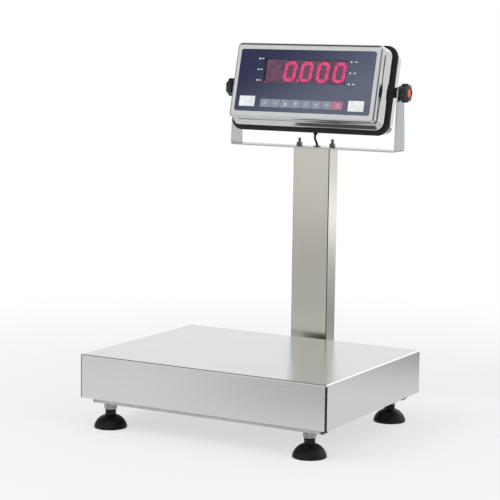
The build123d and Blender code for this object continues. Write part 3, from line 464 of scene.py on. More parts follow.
def threaded(name, radius, length, pitch, depth, sides, steps=4):
    """A rod along Z with a single-start right-hand thread, from its foot at the origin."""
    piece = add(
        name, bpy.ops.mesh.primitive_cylinder_add, vertices=sides, radius=radius,
        depth=length, location=(0, 0, length / 2),
    )
    bpy.ops.object.mode_set(mode="EDIT")
    pick("EDGE", lambda edge: abs(edge.verts[0].co.z - edge.verts[1].co.z) > length / 2)
    bpy.ops.mesh.subdivide(number_cuts=round(length / pitch * steps))
    pick("VERT", lambda vertex: min(vertex.co.z, length - vertex.co.z) > pitch / 2)
    shape = bmesh.from_edit_mesh(piece.data)
    for vertex in shape.verts:
        if vertex.select:
            turn = atan2(vertex.co.y, vertex.co.x) / (2 * pi)
            phase = (vertex.co.z / pitch - turn) % 1.0
            share = 1 - depth / radius * (1 - abs(2 * phase - 1))
            vertex.co.x *= share
            vertex.co.y *= share
    bmesh.update_edit_mesh(piece.data)
    close_up(60.0)
    return piece


def hex_nut(name, flats, height, bore):
    """A hexagon nut with its corners chamfered on both faces, standing on the origin."""
    corner = flats / 2 / cos(pi / 6)
    piece = add(
        name, bpy.ops.mesh.primitive_cylinder_add, vertices=6, radius=corner, depth=height,
        location=(0, 0, height / 2),
    )
    # The chamfer starts just inside the flats, runs out past the corners, and is carried on a
    # little beyond both faces so that the boolean meets no faces in one plane
    narrow, wide, slope = flats / 2 * 0.97, corner * 1.02, (corner - flats / 2) * 0.62
    beyond = 0.2
    tip, past = narrow - beyond * (wide - narrow), beyond * slope
    lens = turned(
        "lens", [(tip, -past), (wide, slope), (wide, height - slope), (tip, height + past)]
    )
    cut(piece, lens, "INTERSECT")
    drill = turned("drill", [(bore, -height), (bore, 2 * height)], sides=32)
    cut(piece, drill)
    activate(piece)
    bpy.ops.object.shade_smooth_by_angle(angle=radians(25))
    return piece


# Finishes

# Settings of a Map Range node that eases in and out
SMOOTH = {"interpolation_type": "SMOOTHSTEP"}

# Belt-brushing lines, in metres. Real ones lie about 0.1 mm apart, which is too fine to show,
# so they are drawn 0.7 mm apart
BRUSH_LINE = 0.0007
BRUSH_LENGTH = 0.07
TUBE_BRUSH_LENGTH = 0.09


def add_node(tree, kind, settings=None, links=None, stops=()):
    """Add one shader node with its settings, linked inputs and a ramp's (place, colour) stops."""
    node = tree.nodes.new(kind)
    for name, value in (settings or {}).items():
        if isinstance(name, str) and hasattr(node, name):
            setattr(node, name, value)
        else:
            node.inputs[name].default_value = value
    for name, source in (links or {}).items():
        tree.links.new(source, node.inputs[name])
    if stops:
        line = node.color_ramp.elements
        while len(line) < len(stops):
            line.new(0.5)
        for element, (position, colour) in zip(line, stops):
            element.position = position
            element.color = (*colour, 1)
    return node


def start_material(name, **constants):
    """A new material with a Principled shader, whose constants sit on its own sockets."""
    material = bpy.data.materials.new(name)
    material.use_nodes = True
    tree = material.node_tree
    tree.nodes.clear()
    shader = add_node(tree, "ShaderNodeBsdfPrincipled")
    for socket, value in constants.items():
        shader.inputs[socket.replace("_", " ")].default_value = value
    add_node(
        tree, "ShaderNodeOutputMaterial", links={"Surface": shader.outputs["BSDF"]}
    )
    return material, tree, shader


def tint(tree, shader, pattern, tones, reach=(0.3, 0.7)):
    """Tint a shader's base colour by a pattern, from a dark tone to a light one."""
    colour = add_node(
        tree, "ShaderNodeValToRGB", links={"Fac": pattern}, stops=tuple(zip(reach, tones))
    ).outputs["Color"]
    tree.links.new(colour, shader.inputs["Base Color"])
    return colour


def vary_gloss(tree, shader, pattern, smooth, rough):
    """Let a shader's roughness wander between two values by a pattern."""
    roughness = add_node(
        tree, "ShaderNodeMapRange", {**SMOOTH, "To Min": smooth, "To Max": rough},
        {"Value": pattern},
    ).outputs["Result"]
    tree.links.new(roughness, shader.inputs["Roughness"])


def raise_pattern(tree, shader, pattern, height):
    """Raise a pattern on a shader's surface by a height in metres."""
    relief = add_node(
        tree, "ShaderNodeBump", {"Distance": height, "Strength": 1.0}, {"Height": pattern}
    )
    tree.links.new(relief.outputs["Normal"], shader.inputs["Normal"])


def shades(colour, darker, lighter):
    """A darker and a lighter shade of a colour."""
    return tuple(c * darker for c in colour), tuple(min(1, c * lighter) for c in colour)


def grain(tree, along_x):
    """Brushing lines along X where a mask socket is 1, else along Y, from Object coordinates."""
    place_in = add_node(tree, "ShaderNodeTexCoord").outputs["Object"]
    fine, coarse = 1 / BRUSH_LINE, 1 / BRUSH_LENGTH
    lengthwise = add_node(
        tree, "ShaderNodeMapping", {"Scale": (coarse, fine, fine)}, {"Vector": place_in}
    ).outputs["Vector"]
    crosswise = add_node(
        tree, "ShaderNodeMapping", {"Scale": (fine, coarse, fine)}, {"Vector": place_in}
    ).outputs["Vector"]
    lines = add_node(
        tree, "ShaderNodeMix", {"data_type": "VECTOR"},
        {"Factor": along_x, 4: crosswise, 5: lengthwise},
    ).outputs[1]
    return add_node(
        tree, "ShaderNodeTexNoise", {"Scale": 1.0, "Detail": 3.0, "Roughness": 0.62},
        {"Vector": lines},
    ).outputs["Fac"]


def upright_grain(tree):
    """Brushing lines along Z, from Object coordinates."""
    place_in = add_node(tree, "ShaderNodeTexCoord").outputs["Object"]
    scale = (1 / BRUSH_LINE, 1 / BRUSH_LINE, 1 / TUBE_BRUSH_LENGTH)
    lines = add_node(
        tree, "ShaderNodeMapping", {"Scale": scale}, {"Vector": place_in}
    ).outputs["Vector"]
    return add_node(
        tree, "ShaderNodeTexNoise", {"Scale": 1.0, "Detail": 3.0}, {"Vector": lines}
    ).outputs["Fac"]


def between_ends(tree, node, axis, reach):
    """0 within a reach of a CAD node's two ends along X (0) or Y (1), 1 between them."""
    low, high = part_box(node)
    place_in = add_node(tree, "ShaderNodeTexCoord").outputs["Object"]
    along = add_node(tree, "ShaderNodeSeparateXYZ", links={0: place_in}).outputs[axis]
    return add_node(
        tree, "ShaderNodeMath",
        {"operation": "COMPARE", 1: (low[axis] + high[axis]) / 2,
         2: (high[axis] - low[axis]) / 2 - reach},
        {0: along},
    ).outputs[0]


def cloud(tree, size, detail=2.0):
    """Soft uneven patches of a size in metres, from Object coordinates."""
    place_in = add_node(tree, "ShaderNodeTexCoord").outputs["Object"]
    return add_node(
        tree, "ShaderNodeTexNoise", {"Scale": 1 / size, "Detail": detail}, {"Vector": place_in}
    ).outputs["Fac"]


def brush(tree, shader, lines, colour):
    """Give a metal shader its brushed tone, the gloss that hands leave, and faint relief."""
    handled, scratch_depth = 0.12, 0.000008
    steel = tint(tree, shader, lines, shades(colour, 0.95, 1.03), (0.2, 0.8))
    vary_gloss(tree, shader, cloud(tree, handled), 0.16, 0.25)
    raise_pattern(tree, shader, lines, scratch_depth)
    return steel


def brushed_stainless(name, colour, node, bend):
    """Folded stainless sheet, belt-brushed before folding: fine lines, soft reflections."""
    material, tree, shader = start_material(name, Metallic=1.0)
    brush(tree, shader, grain(tree, between_ends(tree, node, 0, bend)), colour)
    return material


def brushed_tube(name, colour, node):
    """Stainless tube, brushed along its length: upright lines, and a painted dark reflection along
    its bends.
    """
    material, tree, shader = start_material(name, Metallic=1.0)
    steel = brush(tree, shader, upright_grain(tree), colour)
    # The tube's bent edges are coloured dark, a painted reflection of the dark surroundings along
    # the bends
    bend = 0.0011
    across, through = (between_ends(tree, node, axis, bend) for axis in (0, 1))
    flat = add_node(
        tree, "ShaderNodeMath", {"operation": "MAXIMUM"}, {0: across, 1: through}
    ).outputs[0]
    painted_dark_bends = add_node(
        tree, "ShaderNodeMix", {"data_type": "RGBA", 6: (*linear("#56544f"), 1)},
        {"Factor": flat, 7: steel},
    ).outputs[2]
    tree.links.new(painted_dark_bends, shader.inputs["Base Color"])
    return material


def polished_stainless(name, colour):
    """Bright-drawn stainless sheet, polished after forming: a near mirror with faint ripples."""
    material, tree, shader = start_material(name, Metallic=1.0)
    ripple, wiped, ripple_depth = 0.03, 0.05, 0.00002
    ripples = cloud(tree, ripple, 1.0)
    tint(tree, shader, ripples, shades(colour, 0.97, 1.02))
    vary_gloss(tree, shader, cloud(tree, wiped), 0.06, 0.13)
    raise_pattern(tree, shader, ripples, ripple_depth)
    return material


def zinc_plate(name, low="#9a9ea1", high="#bcc0c2"):
    """Bright zinc-plated steel hardware: cool grey, soft gloss and slightly uneven plating."""
    material, tree, shader = start_material(name, Metallic=1.0)
    patch = 0.004
    patches = cloud(tree, patch)
    tint(tree, shader, patches, (linear(low), linear(high)))
    vary_gloss(tree, shader, patches, 0.18, 0.34)
    return material


def powder_coat(name, colour):
    """Grey powder coat on steel tube: satin with a fine orange-peel surface."""
    material, tree, shader = start_material(name, Roughness=0.42)
    unevenness, peel, peel_depth = 0.03, 0.0016, 0.00006
    tint(tree, shader, cloud(tree, unevenness), shades(colour, 0.92, 1.05))
    raise_pattern(tree, shader, cloud(tree, peel), peel_depth)
    return material


def moulded_plastic(name, colour, roughness, texture=0.0007, gloss=0.5):
    """Injection-moulded plastic: a fine spark-eroded texture and slightly uneven gloss."""
    material, tree, shader = start_material(name, IOR=1.5, Specular_IOR_Level=gloss)
    # A real texture of about 0.1 mm is too fine to show, so it is drawn coarser
    flow, texture_depth = 0.01, 0.00003
    spots = cloud(tree, texture)
    tint(tree, shader, cloud(tree, flow), shades(colour, 0.85, 1.18))
    vary_gloss(tree, shader, spots, roughness - 0.06, roughness + 0.08)
    raise_pattern(tree, shader, spots, texture_depth)
    return material


def rubber(name, colour, dust=0.15):
    """Moulded rubber: matt, with a dusty bloom in soft patches."""
    material, tree, shader = start_material(name, IOR=1.5, Sheen_Weight=dust)
    # The mould's own texture, of about 0.1 mm, is drawn coarser so that it shows
    patch, texture, texture_depth = 0.02, 0.0009, 0.00004
    bloom = cloud(tree, patch)
    tint(tree, shader, bloom, shades(colour, 0.85, 1.5), (0.35, 0.75))
    vary_gloss(tree, shader, bloom, 0.55, 0.75)
    raise_pattern(tree, shader, cloud(tree, texture), texture_depth)
    return material


def plain_metal(name, low, high, smooth, rough, size):
    """Machined or turned metal with small changes of tone from the tool."""
    material, tree, shader = start_material(name, Metallic=1.0)
    marks = cloud(tree, size)
    tint(tree, shader, marks, (linear(low), linear(high)))
    vary_gloss(tree, shader, marks, smooth, rough)
    return material


def circuit_laminate(name):
    """Glass-epoxy circuit board: green mask over paler copper tracks round 3.8 mm cells."""
    material, tree, shader = start_material(name, Roughness=0.35, IOR=1.55)
    # A brick is half a unit long, and real tracks lie closer than would show
    cell = 0.0038
    place_in = add_node(tree, "ShaderNodeTexCoord").outputs["Object"]
    tracks = add_node(
        tree, "ShaderNodeTexBrick",
        {"Scale": 0.5 / cell, "Mortar Size": 0.03, "Color1": (*linear("#14502f"), 1),
         "Color2": (*linear("#185a35"), 1), "Mortar": (*linear("#3c8a58"), 1)},
        {"Vector": place_in},
    )
    tree.links.new(tracks.outputs["Color"], shader.inputs["Base Color"])
    return material


def panel_film(name, colour, painted_sheen=None):
    """Printed polyester film: fine matt texture over flat ink, with a soft sheen."""
    material, tree, shader = start_material(name, IOR=1.5, Specular_IOR_Level=0.4)
    # The film's tooth, far under 0.1 mm, is drawn coarser so that it shows
    tooth, tooth_depth = 0.0006, 0.00001
    texture = cloud(tree, tooth)
    ink = tint(tree, shader, texture, shades(colour, 0.95, 1.05))
    if painted_sheen:
        # The colour blends across the film from its ink at the upper left to a painted sheen at its
        # lower right, a reflection of the surroundings drawn into the colour; the blend starts and
        # ends this far from the middle, as shares of the film's width
        downwards, before, after = 0.7, 0.6, 0.55
        low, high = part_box("overlay")
        run = Vector((1 / (high.x - low.x), 0, -downwards / (high.z - low.z)))
        centre = middle("overlay").dot(run)
        place_in = add_node(tree, "ShaderNodeTexCoord").outputs["Object"]
        across = add_node(
            tree, "ShaderNodeVectorMath", {"operation": "DOT_PRODUCT", 1: run}, {0: place_in}
        ).outputs["Value"]
        share = add_node(
            tree, "ShaderNodeMapRange",
            {**SMOOTH, "From Min": centre - before, "From Max": centre + after},
            {"Value": across},
        ).outputs["Result"]
        blend = add_node(
            tree, "ShaderNodeMix", {"data_type": "RGBA", 7: (*painted_sheen, 1)},
            {"Factor": share, 6: ink},
        ).outputs[2]
        tree.links.new(blend, shader.inputs["Base Color"])
    vary_gloss(tree, shader, texture, 0.34, 0.44)
    raise_pattern(tree, shader, texture, tooth_depth)
    return material


def smoked_window(name):
    """Faintly tinted acrylic sheet, coated so that it mirrors little in front of the digits."""
    material, tree, shader = start_material(
        name, IOR=1.22, Transmission_Weight=1.0, Roughness=0.03
    )
    haze = 0.02
    tint(tree, shader, cloud(tree, haze), (linear("#e4dce6"), linear("#e8e0ea")))
    return material


def lit_bar(name, colour, strength=0.76):
    """Glowing light-pipe plastic: red all through, a little uneven in its brightness."""
    material, tree, shader = start_material(name, Roughness=0.4, Emission_Strength=strength)
    patch = 0.004
    glow = tint(tree, shader, cloud(tree, patch), shades(colour, 0.86, 1.1))
    tree.links.new(glow, shader.inputs["Emission Color"])
    return material


def finish(material, *names):
    """Give one material to CAD nodes by name, or to pieces."""
    for name in names:
        piece = frame["nodes"][name] if isinstance(name, str) else name
        piece.data.materials.clear()
        piece.data.materials.append(material)


def dress(piece, body, material, slot, *nodes):
    """Finish a new piece, let it ride on a body, and let it stand for CAD nodes."""
    finish(material, piece)
    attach(piece, body)
    if nodes:
        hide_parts(*nodes)


def add_platter(context):
    """Brushed stainless cover, folded down on four sides."""
    colours = context.scene.scale_colours
    bend = 0.001
    finish(
        brushed_stainless("stainless_brushed_platter", colours.steel, "platter", bend),
        "platter",
    )
    corner_shade_beads()


def corner_shade_beads():
    """Dark rippled beads in the platter's four folded corners, coloured as painted shade for the
    dark seams there.
    """
    low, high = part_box("platter")
    radius, sheet, ripple, ripple_depth, clearance = 0.0012, 0.0012, 0.0016, 0.0002, 0.0002
    bead = threaded(
        "bead_model", radius, high.z - low.z - sheet, ripple, ripple_depth, sides=12, steps=3
    )
    inset = radius + clearance
    half_width = (high.x - low.x) / 2 - inset
    half_depth = (high.y - low.y) / 2 - inset
    spots = [
        Matrix.Translation((
            PLATTER_MIDDLE.x + side * half_width, PLATTER_MIDDLE.y + end * half_depth, low.z
        ))
        for side in (-1, 1) for end in (-1, 1)
    ]
    shade_beads = join("corner_shade_beads", copies(bead, spots))
    # The beads' dark colour is painted shade, standing in for the shadow inside the open corner
    # seams
    painted_shade = plain_metal("painted_corner_shade", "#34332f", "#4c4a45", 0.45, 0.6, 0.002)
    dress(shade_beads, "platter", painted_shade, "stainless_sheet")


def foot_screws(context):
    """Threaded studs and chamfered lock nuts of the four levelling feet."""
    pitch = context.scene.scale_sizes.foot_thread
    thread_depth, nut_flats = 0.0009, 0.016
    # The feet's studs and nuts are coloured darker than bright zinc, as painted shade for the
    # shadow under the platter
    zinc = zinc_plate("zinc_foot_screws_in_painted_shade", "#84827e", "#a8a6a1")
    low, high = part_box("foot_stud_fl")
    radius = (high.x - low.x) / 2
    stud = threaded("stud_model", radius, high.z - low.z, pitch, thread_depth, sides=28)
    ends = [Vector((*middle(f"foot_stud_{corner}").xy, low.z)) for corner in FOOT_CORNERS]
    studs = copies(stud, [Matrix.Translation(end) for end in ends])
    for corner, screw in zip(FOOT_CORNERS, studs):
        node = f"foot_stud_{corner}"
        screw.name = f"levelling_screw_{corner}"
        dress(screw, node, zinc, "zinc_plate", node)
    low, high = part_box("foot_lock_nuts")
    nut = hex_nut("nut_model", nut_flats, high.z - low.z, radius)
    nuts = copies(nut, [Matrix.Translation((*end.xy, low.z)) for end in ends])
    dress(join("lock_nuts", nuts), "base", zinc, "zinc_plate", "foot_lock_nuts")


def add_feet(context):
    """Levelling feet: moulded pads on threaded studs, with lock nuts under the rails."""
    foot_screws(context)
    pads = moulded_plastic("moulded_nylon_foot", linear("#09090a"), 0.45, 0.0012, 0.28)
    finish(pads, *(f"foot_pad_{corner}" for corner in FOOT_CORNERS))


def add_frame(context):
    """Frame under the platter: powder-coated tubes, load cell, screws and rubber pads."""
    colours = context.scene.scale_colours
    finish(
        powder_coat("powder_coated_tube", colours.frame_paint), "front_rail", "rear_rail",
        "cross_beam", "spider_front_beam", "spider_rear_beam", "spider_bridge", "column_plate",
    )
    finish(
        zinc_plate("zinc_plated_bolts"), "upper_spacer", "spider_bolts", "frame_bolts",
        "overload_stops", "foot_bushes",
    )
    aluminium = plain_metal("machined_aluminium", "#c2c5c8", "#d6d8da", 0.22, 0.36, 0.006)
    finish(aluminium, "load_cell")
    finish(rubber("black_rubber_pads", linear("#1c1c1d")), "spider_pads")
    finish(moulded_plastic("moulded_end_cap", linear("#1d1e20"), 0.5), "rail_end_caps")


def weld_bead(context):
    """Rippled weld bead round the column where it stands on its plate."""
    radius = context.scene.scale_sizes.weld_radius
    corner, ripple, ripple_share, cuts = 0.0015, 0.0032, 0.18, 60
    low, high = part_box("column")
    piece = add("weld_bead", bpy.ops.mesh.primitive_plane_add, size=1)
    piece.scale = (high.x - low.x, high.y - low.y, 1)
    piece.location = (COLUMN_MIDDLE.x, COLUMN_MIDDLE.y, low.z)
    bpy.ops.object.transform_apply(location=True, rotation=True, scale=True)
    bpy.ops.object.mode_set(mode="EDIT")
    bpy.ops.mesh.select_all(action="SELECT")
    bpy.ops.mesh.bevel(offset=corner, segments=3, affect="VERTICES")
    bpy.ops.mesh.select_all(action="SELECT")
    bpy.ops.mesh.delete(type="ONLY_FACE")
    pick("EDGE", lambda edge: edge.calc_length() > 2 * corner)
    bpy.ops.mesh.subdivide(number_cuts=cuts)
    bpy.ops.object.mode_set(mode="OBJECT")
    bpy.ops.object.convert(target="CURVE")
    piece = bpy.context.object
    piece.data.bevel_depth = radius
    piece.data.bevel_resolution = 3
    bpy.ops.object.convert(target="MESH")
    piece = bpy.context.object
    for vertex in piece.data.vertices:
        run = vertex.co.x + vertex.co.y
        vertex.co.z += ripple_share * radius * sin(2 * pi * run / ripple)
    bpy.ops.object.shade_smooth()
    piece.name = "weld_bead"
    heat = plain_metal("weld_metal", "#8d8a84", "#b7b3aa", 0.28, 0.5, 0.003)
    dress(piece, "base", heat, "stainless_sheet")


def bracket_screws(context):
    """Two threaded studs with nuts and washers that hold the U-bracket on the column."""
    pitch = context.scene.scale_sizes.stud_thread
    thread_depth, nut_flats, washer_height, washer_radius = 0.0005, 0.008, 0.001, 0.005
    zinc = zinc_plate("zinc_plated_bracket_screws", "#7d7e7d", "#a09f9c")
    low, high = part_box("bracket_studs")
    radius = (high.y - low.y) / 2
    offset = (high.x - low.x) / 2 - radius
    def at_both(height):
        """Places of both studs at a height."""
        return [
            Matrix.Translation((side * offset, COLUMN_MIDDLE.y, height)) for side in (-1, 1)
        ]
    stud = threaded("stud_model", radius, high.z - low.z, pitch, thread_depth, sides=20)
    studs = join("bracket_screws", copies(stud, at_both(low.z)))
    dress(studs, "base", zinc, "zinc_plate", "bracket_studs")
    low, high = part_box("bracket_nuts")
    edge = 0.0002
    washer = turned(
        "washer_model",
        [(washer_radius - 0.0003, 0), (washer_radius, edge),
         (washer_radius, washer_height - edge), (washer_radius - 0.0003, washer_height)],
    )
    nut = hex_nut("nut_model", nut_flats, high.z - low.z - washer_height, radius)
    place(nut, Matrix.Translation((0, 0, washer_height)))
    pair = join("nut_and_washer", [washer, nut])
    nuts = join("bracket_nut_pair", copies(pair, at_both(low.z)))
    dress(nuts, "base", zinc, "zinc_plate", "bracket_nuts")


def add_column(context):
    """Column and U-bracket of stainless steel, with studs, nuts and the cable's grommet."""
    colours = context.scene.scale_colours
    finish(brushed_tube("stainless_tube_column", colours.column, "column"), "column")
    bend = 0.003
    strip = brushed_stainless("stainless_strip_bracket", linear("#aeb1b3"), "u_bracket", bend)
    finish(strip, "u_bracket")
    bracket_screws(context)
    finish(rubber("grey_rubber_grommet", linear("#6c6e6f")), "cable_grommet")
    weld_bead(context)


def rim_outline(sizes, inset, depth):
    """Outline of the display's front rim, drawn in by an inset at a depth."""
    width = BODY_WIDTH - 2 * sizes.side_flare - 2 * inset
    height = BODY_HEIGHT - 2 * sizes.rise_flare - 2 * inset
    return (width, height, max(sizes.rim_corner - inset, 0.0006), 0.0, depth)


def flare_outline(sizes, share, inset):
    """Outline part of the way through the S-shaped flare, from share 0 at the rim's end to 1."""
    ease = share * share * (3 - 2 * share)
    depth = sizes.flare_start + share * (sizes.flare_end - sizes.flare_start)
    corner = sizes.rim_corner + ease * (sizes.body_corner - sizes.rim_corner)
    return (
        BODY_WIDTH - 2 * sizes.side_flare * (1 - ease) - 2 * inset,
        BODY_HEIGHT - 2 * sizes.rise_flare * (1 - ease) - 2 * inset,
        corner - inset,
        -BODY_DROP * ease,
        depth,
    )


def recess_floor(film_width, film_height, gap):
    """Floor of the film's recess, cut open for the window and for the keys."""
    sheet, front, corner = 0.0014, -0.001, 0.003
    floor = slab("recess_floor", film_width + gap, film_height + gap, sheet, corner, front=front)
    # The window has a running gap, and the keypad board overlaps its opening all round
    for node, grow_across, grow_up in (
        ("display_window", 0.0003, 0.0003), ("keypad_board", -0.0068, -0.0034)
    ):
        near, far = span(node, ACROSS)
        low, high = rises(node)
        tool = slab(
            "tool", far - near + grow_across, high - low + grow_up, 0.004,
            at=((near + far) / 2, (low + high) / 2), front=0.001,
        )
        cut(floor, tool)
    return floor


def front_shell(context):
    """Drawn front shell, with a rounded rim, collar, flare and folded wall. Returns its steel."""
    sizes = context.scene.scale_sizes
    film_width = span("overlay", ACROSS)[1] - span("overlay", ACROSS)[0]
    film_height = span("overlay", UPWARD)[1] - span("overlay", UPWARD)[0]
    gap, edge_break, floor_depth, recess_corner = 0.0004, 0.0004, 0.0024, 0.0032
    straight, blend, steps = 0.0005, 0.0006, 8
    recess = (film_width + gap, film_height + gap, recess_corner, 0.0)
    lip = (
        film_width + gap + 2 * edge_break, film_height + gap + 2 * edge_break,
        recess_corner + edge_break, 0.0,
    )
    outlines = [(*recess, floor_depth), (*recess, edge_break), (*lip, 0.0)]
    for step in range(steps + 1):
        turn = step / steps * pi / 2
        inset = sizes.rim_round * (1 - sin(turn))
        outlines.append(rim_outline(sizes, inset, sizes.rim_round * (1 - cos(turn))))
    outlines.append(rim_outline(sizes, 0, sizes.rim_round + straight))
    outlines.append(rim_outline(sizes, 0, sizes.flare_start - blend))
    outlines += [flare_outline(sizes, step / steps, 0) for step in range(steps + 1)]
    back = flare_outline(sizes, 1, 0)
    outlines += [(*back[:4], sizes.flare_end + blend), (*back[:4], SHELL_DEPTH)]
    inner = flare_outline(sizes, 1, sizes.sheet)
    outlines.append((*inner[:4], SHELL_DEPTH))
    outlines += [
        flare_outline(sizes, 1 - step / steps, sizes.sheet) for step in range(steps + 1)
    ]
    outlines.append(rim_outline(sizes, sizes.sheet, floor_depth))
    wall = skin("display_front_shell", outlines)
    shell = join("display_front_shell", [wall, recess_floor(film_width, film_height, gap)])
    place(shell, FACE)
    steel = polished_stainless(
        "stainless_polished_housing", context.scene.scale_colours.polished
    )
    dress(shell, "indicator", steel, "stainless_sheet", "front_shell")
    return steel


def gasket_band(context):
    """Rubber gasket that stands out between the two shells, with a shallow groove round it."""
    sizes = context.scene.scale_sizes
    stand = sizes.gasket_stand
    depth = COVER_FRONT - SHELL_DEPTH
    inside = -0.004
    # Half of the band's profile, as (stand-out, depth): inside, rounded edge, lip, groove
    profile = [
        (inside, 0.0), (stand - 0.0022, 0.0), (stand - 0.0009, 0.0002),
        (stand - 0.0002, 0.0008), (stand, 0.0016), (stand - 0.0001, 0.0021),
        (stand - 0.0006, 0.0024),
    ]
    mirrored = [(reach, depth - place_in) for reach, place_in in reversed(profile)]
    outlines = [
        (
            BODY_WIDTH + 2 * reach, BODY_HEIGHT + 2 * reach, sizes.body_corner + reach,
            -BODY_DROP, SHELL_DEPTH + place_in,
        )
        for reach, place_in in profile + mirrored
    ]
    band = place(skin("display_gasket", outlines, 50.0), FACE)
    black = rubber("black_epdm_gasket", linear("#0b0c17"), 0.04)
    dress(band, "indicator", black, "black_rubber", "gasket")


def pan_head():
    """A pan-head screw with a cross recess, along Z, its seat at the origin."""
    height, radius, shank_radius, shank_length = 0.0024, 0.004, 0.0018, 0.03
    head = turned(
        "head",
        [(shank_radius, -shank_length), (shank_radius, 0), (radius, 0),
         (radius, height * 0.35), (radius * 0.88, height * 0.72), (radius * 0.62, height * 0.93),
         (radius * 0.3, height)],
        sides=40,
    )
    slot_long, slot_wide, slot_deep, slot_taper = 0.0046, 0.0009, 0.0016, 0.45
    for turn in (0, pi / 2):
        blade = add(
            "blade", bpy.ops.mesh.primitive_cube_add, size=1, location=(0, 0, height),
            rotation=(0, 0, turn), scale=(slot_long, slot_wide, 2 * slot_deep),
        )
        bpy.ops.object.mode_set(mode="EDIT")
        pick("FACE", lambda face: face.normal.z < -0.9)
        bpy.ops.transform.resize(value=(slot_taper, slot_taper, 1), center_override=(0, 0, 0))
        bpy.ops.object.mode_set(mode="OBJECT")
        cut(head, blade)
    return head, height, radius


def cover_screws():
    """Four pan-head screws that hold the rear cover."""
    head, height, radius = pan_head()
    low, high = rises("cover_screws")
    reach = span("cover_screws", ACROSS)[1] - radius
    back = depths("cover_screws")[1]
    backwards = Matrix.Rotation(pi, 4, "Y")
    spots = [
        FACE @ Matrix.Translation((side * reach, rise, height - back)) @ backwards
        for side in (-1, 1) for rise in (low + radius, high - radius)
    ]
    steel = plain_metal("stainless_screws", "#bfc1c2", "#d8d9d8", 0.16, 0.28, 0.003)
    screws = join("cover_screw_set", copies(head, spots))
    dress(screws, "indicator", steel, "zinc_plate", "cover_screws")


def add_housing(context):
    """Display housing: drawn shells, gasket, screws, pivot spacers and cable relief."""
    steel = front_shell(context)
    gasket_band(context)
    cover_screws()
    finish(steel, "rear_cover")
    soft = rubber("black_rubber_seals", linear("#1a1b1c"))
    finish(soft, "pivot_spacers", "cable_relief")
    finish(moulded_plastic("moulded_inlet", linear("#1b1b1c"), 0.4), "power_inlet")


def ring_mark(name, radius, line, at, height):
    """A printed ring."""
    piece = turned(name, [(radius, 0), (radius, height)], sides=20)
    hole = turned("hole", [(radius - line, -height), (radius - line, 2 * height)], sides=20)
    cut(piece, hole)
    return place(piece, Matrix.Translation((*at, 0)))


def dart(name, size, at, height, turn):
    """A printed triangle that points along X before its turn."""
    piece = turned(name, [(size, 0), (size, height)], sides=3)
    spin = Matrix.Rotation(turn - pi / 2, 4, "Z")
    return place(piece, Matrix.Translation((*at, 0)) @ spin)


def bar_mark(name, width, height, at, thickness):
    """A printed bar with slightly rounded ends."""
    return slab(
        name, width, height, thickness, min(width, height) * 0.3, at, thickness, 2
    )


def key_symbols():
    """Strokes of eight plain symbols, one for each key, in millimetres round its middle."""
    # A bar has its width, height and middle, a dart its size, middle and turn in degrees, and
    # a ring its radius, line and middle
    return [
        [("bar", 5.2, 0.9, 0, 1.2), ("bar", 5.2, 0.9, 0, -1.2)],
        [("bar", 4.6, 0.9, 0, 0), ("bar", 0.9, 4.6, 0, 0)],
        [("dart", 2.6, 0, 0, 90), ("bar", 5.0, 0.8, 0, -2.6)],
        [("dart", 2.6, 0, 0, -90), ("bar", 5.0, 0.8, 0, 2.6)],
        [("ring", 2.5, 0.8, 0, 0)],
        [("dart", 2.6, -0.6, 0, 0), ("bar", 0.8, 4.4, 2.2, 0)],
        [("bar", 1.0, 4.4, -1.5, 0), ("bar", 1.0, 4.4, 1.5, 0)],
        [("ring", 2.7, 0.8, 0, 0), ("bar", 0.9, 3.0, 0, 1.8)],
    ]


def draw_symbol(name, strokes, height):
    """Join one symbol's strokes, given in millimetres."""
    pieces = []
    for kind, *values in strokes:
        numbers = [value / 1000 for value in values]
        if kind == "bar":
            pieces.append(bar_mark("stroke", *numbers[:2], numbers[2:4], height))
        elif kind == "ring":
            pieces.append(ring_mark("stroke", *numbers[:2], numbers[2:4], height))
        else:
            pieces.append(
                dart("stroke", numbers[0], numbers[1:3], height, radians(values[3]))
            )
    return join(name, pieces)


def add_keys(context):
    """Keys of the touch panel, each with a plain printed symbol that moves with it."""
    height = context.scene.scale_sizes.print_height
    grey = panel_film("printed_key_film", linear("#8e94a4"))
    red = panel_film("printed_red_key_film", linear("#c27690"))
    ink = moulded_plastic("pale_key_ink", linear("#c9ced9"), 0.5)
    for number, strokes in enumerate(key_symbols(), 1):
        node = f"key_{number}"
        finish(red if number == KEY_COUNT else grey, node)
        symbol = draw_symbol(f"key_symbol_{number}", strokes, height)
        across = sum(span(node, ACROSS)) / 2
        rise = sum(rises(node)) / 2
        place(symbol, FACE @ Matrix.Translation((across, rise, -depths(node)[0])))
        dress(symbol, node, ink, "key_print")


def light_spill(context):
    """Light that spills across the narrow gaps half way up the sides of the lit noughts."""
    sizes = context.scene.scale_sizes
    low, high = rises("lit_segments")
    front = depths("lit_segments")[0]
    middle_rise = (low + high) / 2
    slant, thickness, sunk = radians(6), 0.0002, 0.00005
    half_slant = (high - middle_rise) * sin(slant)
    wide, tall = 0.94 * sizes.digit_stroke, 0.55 * sizes.digit_stroke
    side = sizes.digit_width / 2 - sizes.digit_stroke / 2
    last = span("lit_segments", ACROSS)[1] - half_slant - sizes.digit_width / 2
    spills = [
        slab(
            "spill", wide, tall, thickness,
            at=(last - number * sizes.digit_pitch + hand * side, middle_rise),
            front=-front - sunk,
        )
        for number in range(NOUGHT_COUNT) for hand in (-1, 1)
    ]
    glow = place(join("digit_light_spill", spills), FACE)
    dim = lit_bar("light_spill_plastic", context.scene.scale_colours.lit, 0.64)
    dress(glow, "indicator", dim, "lit_red")


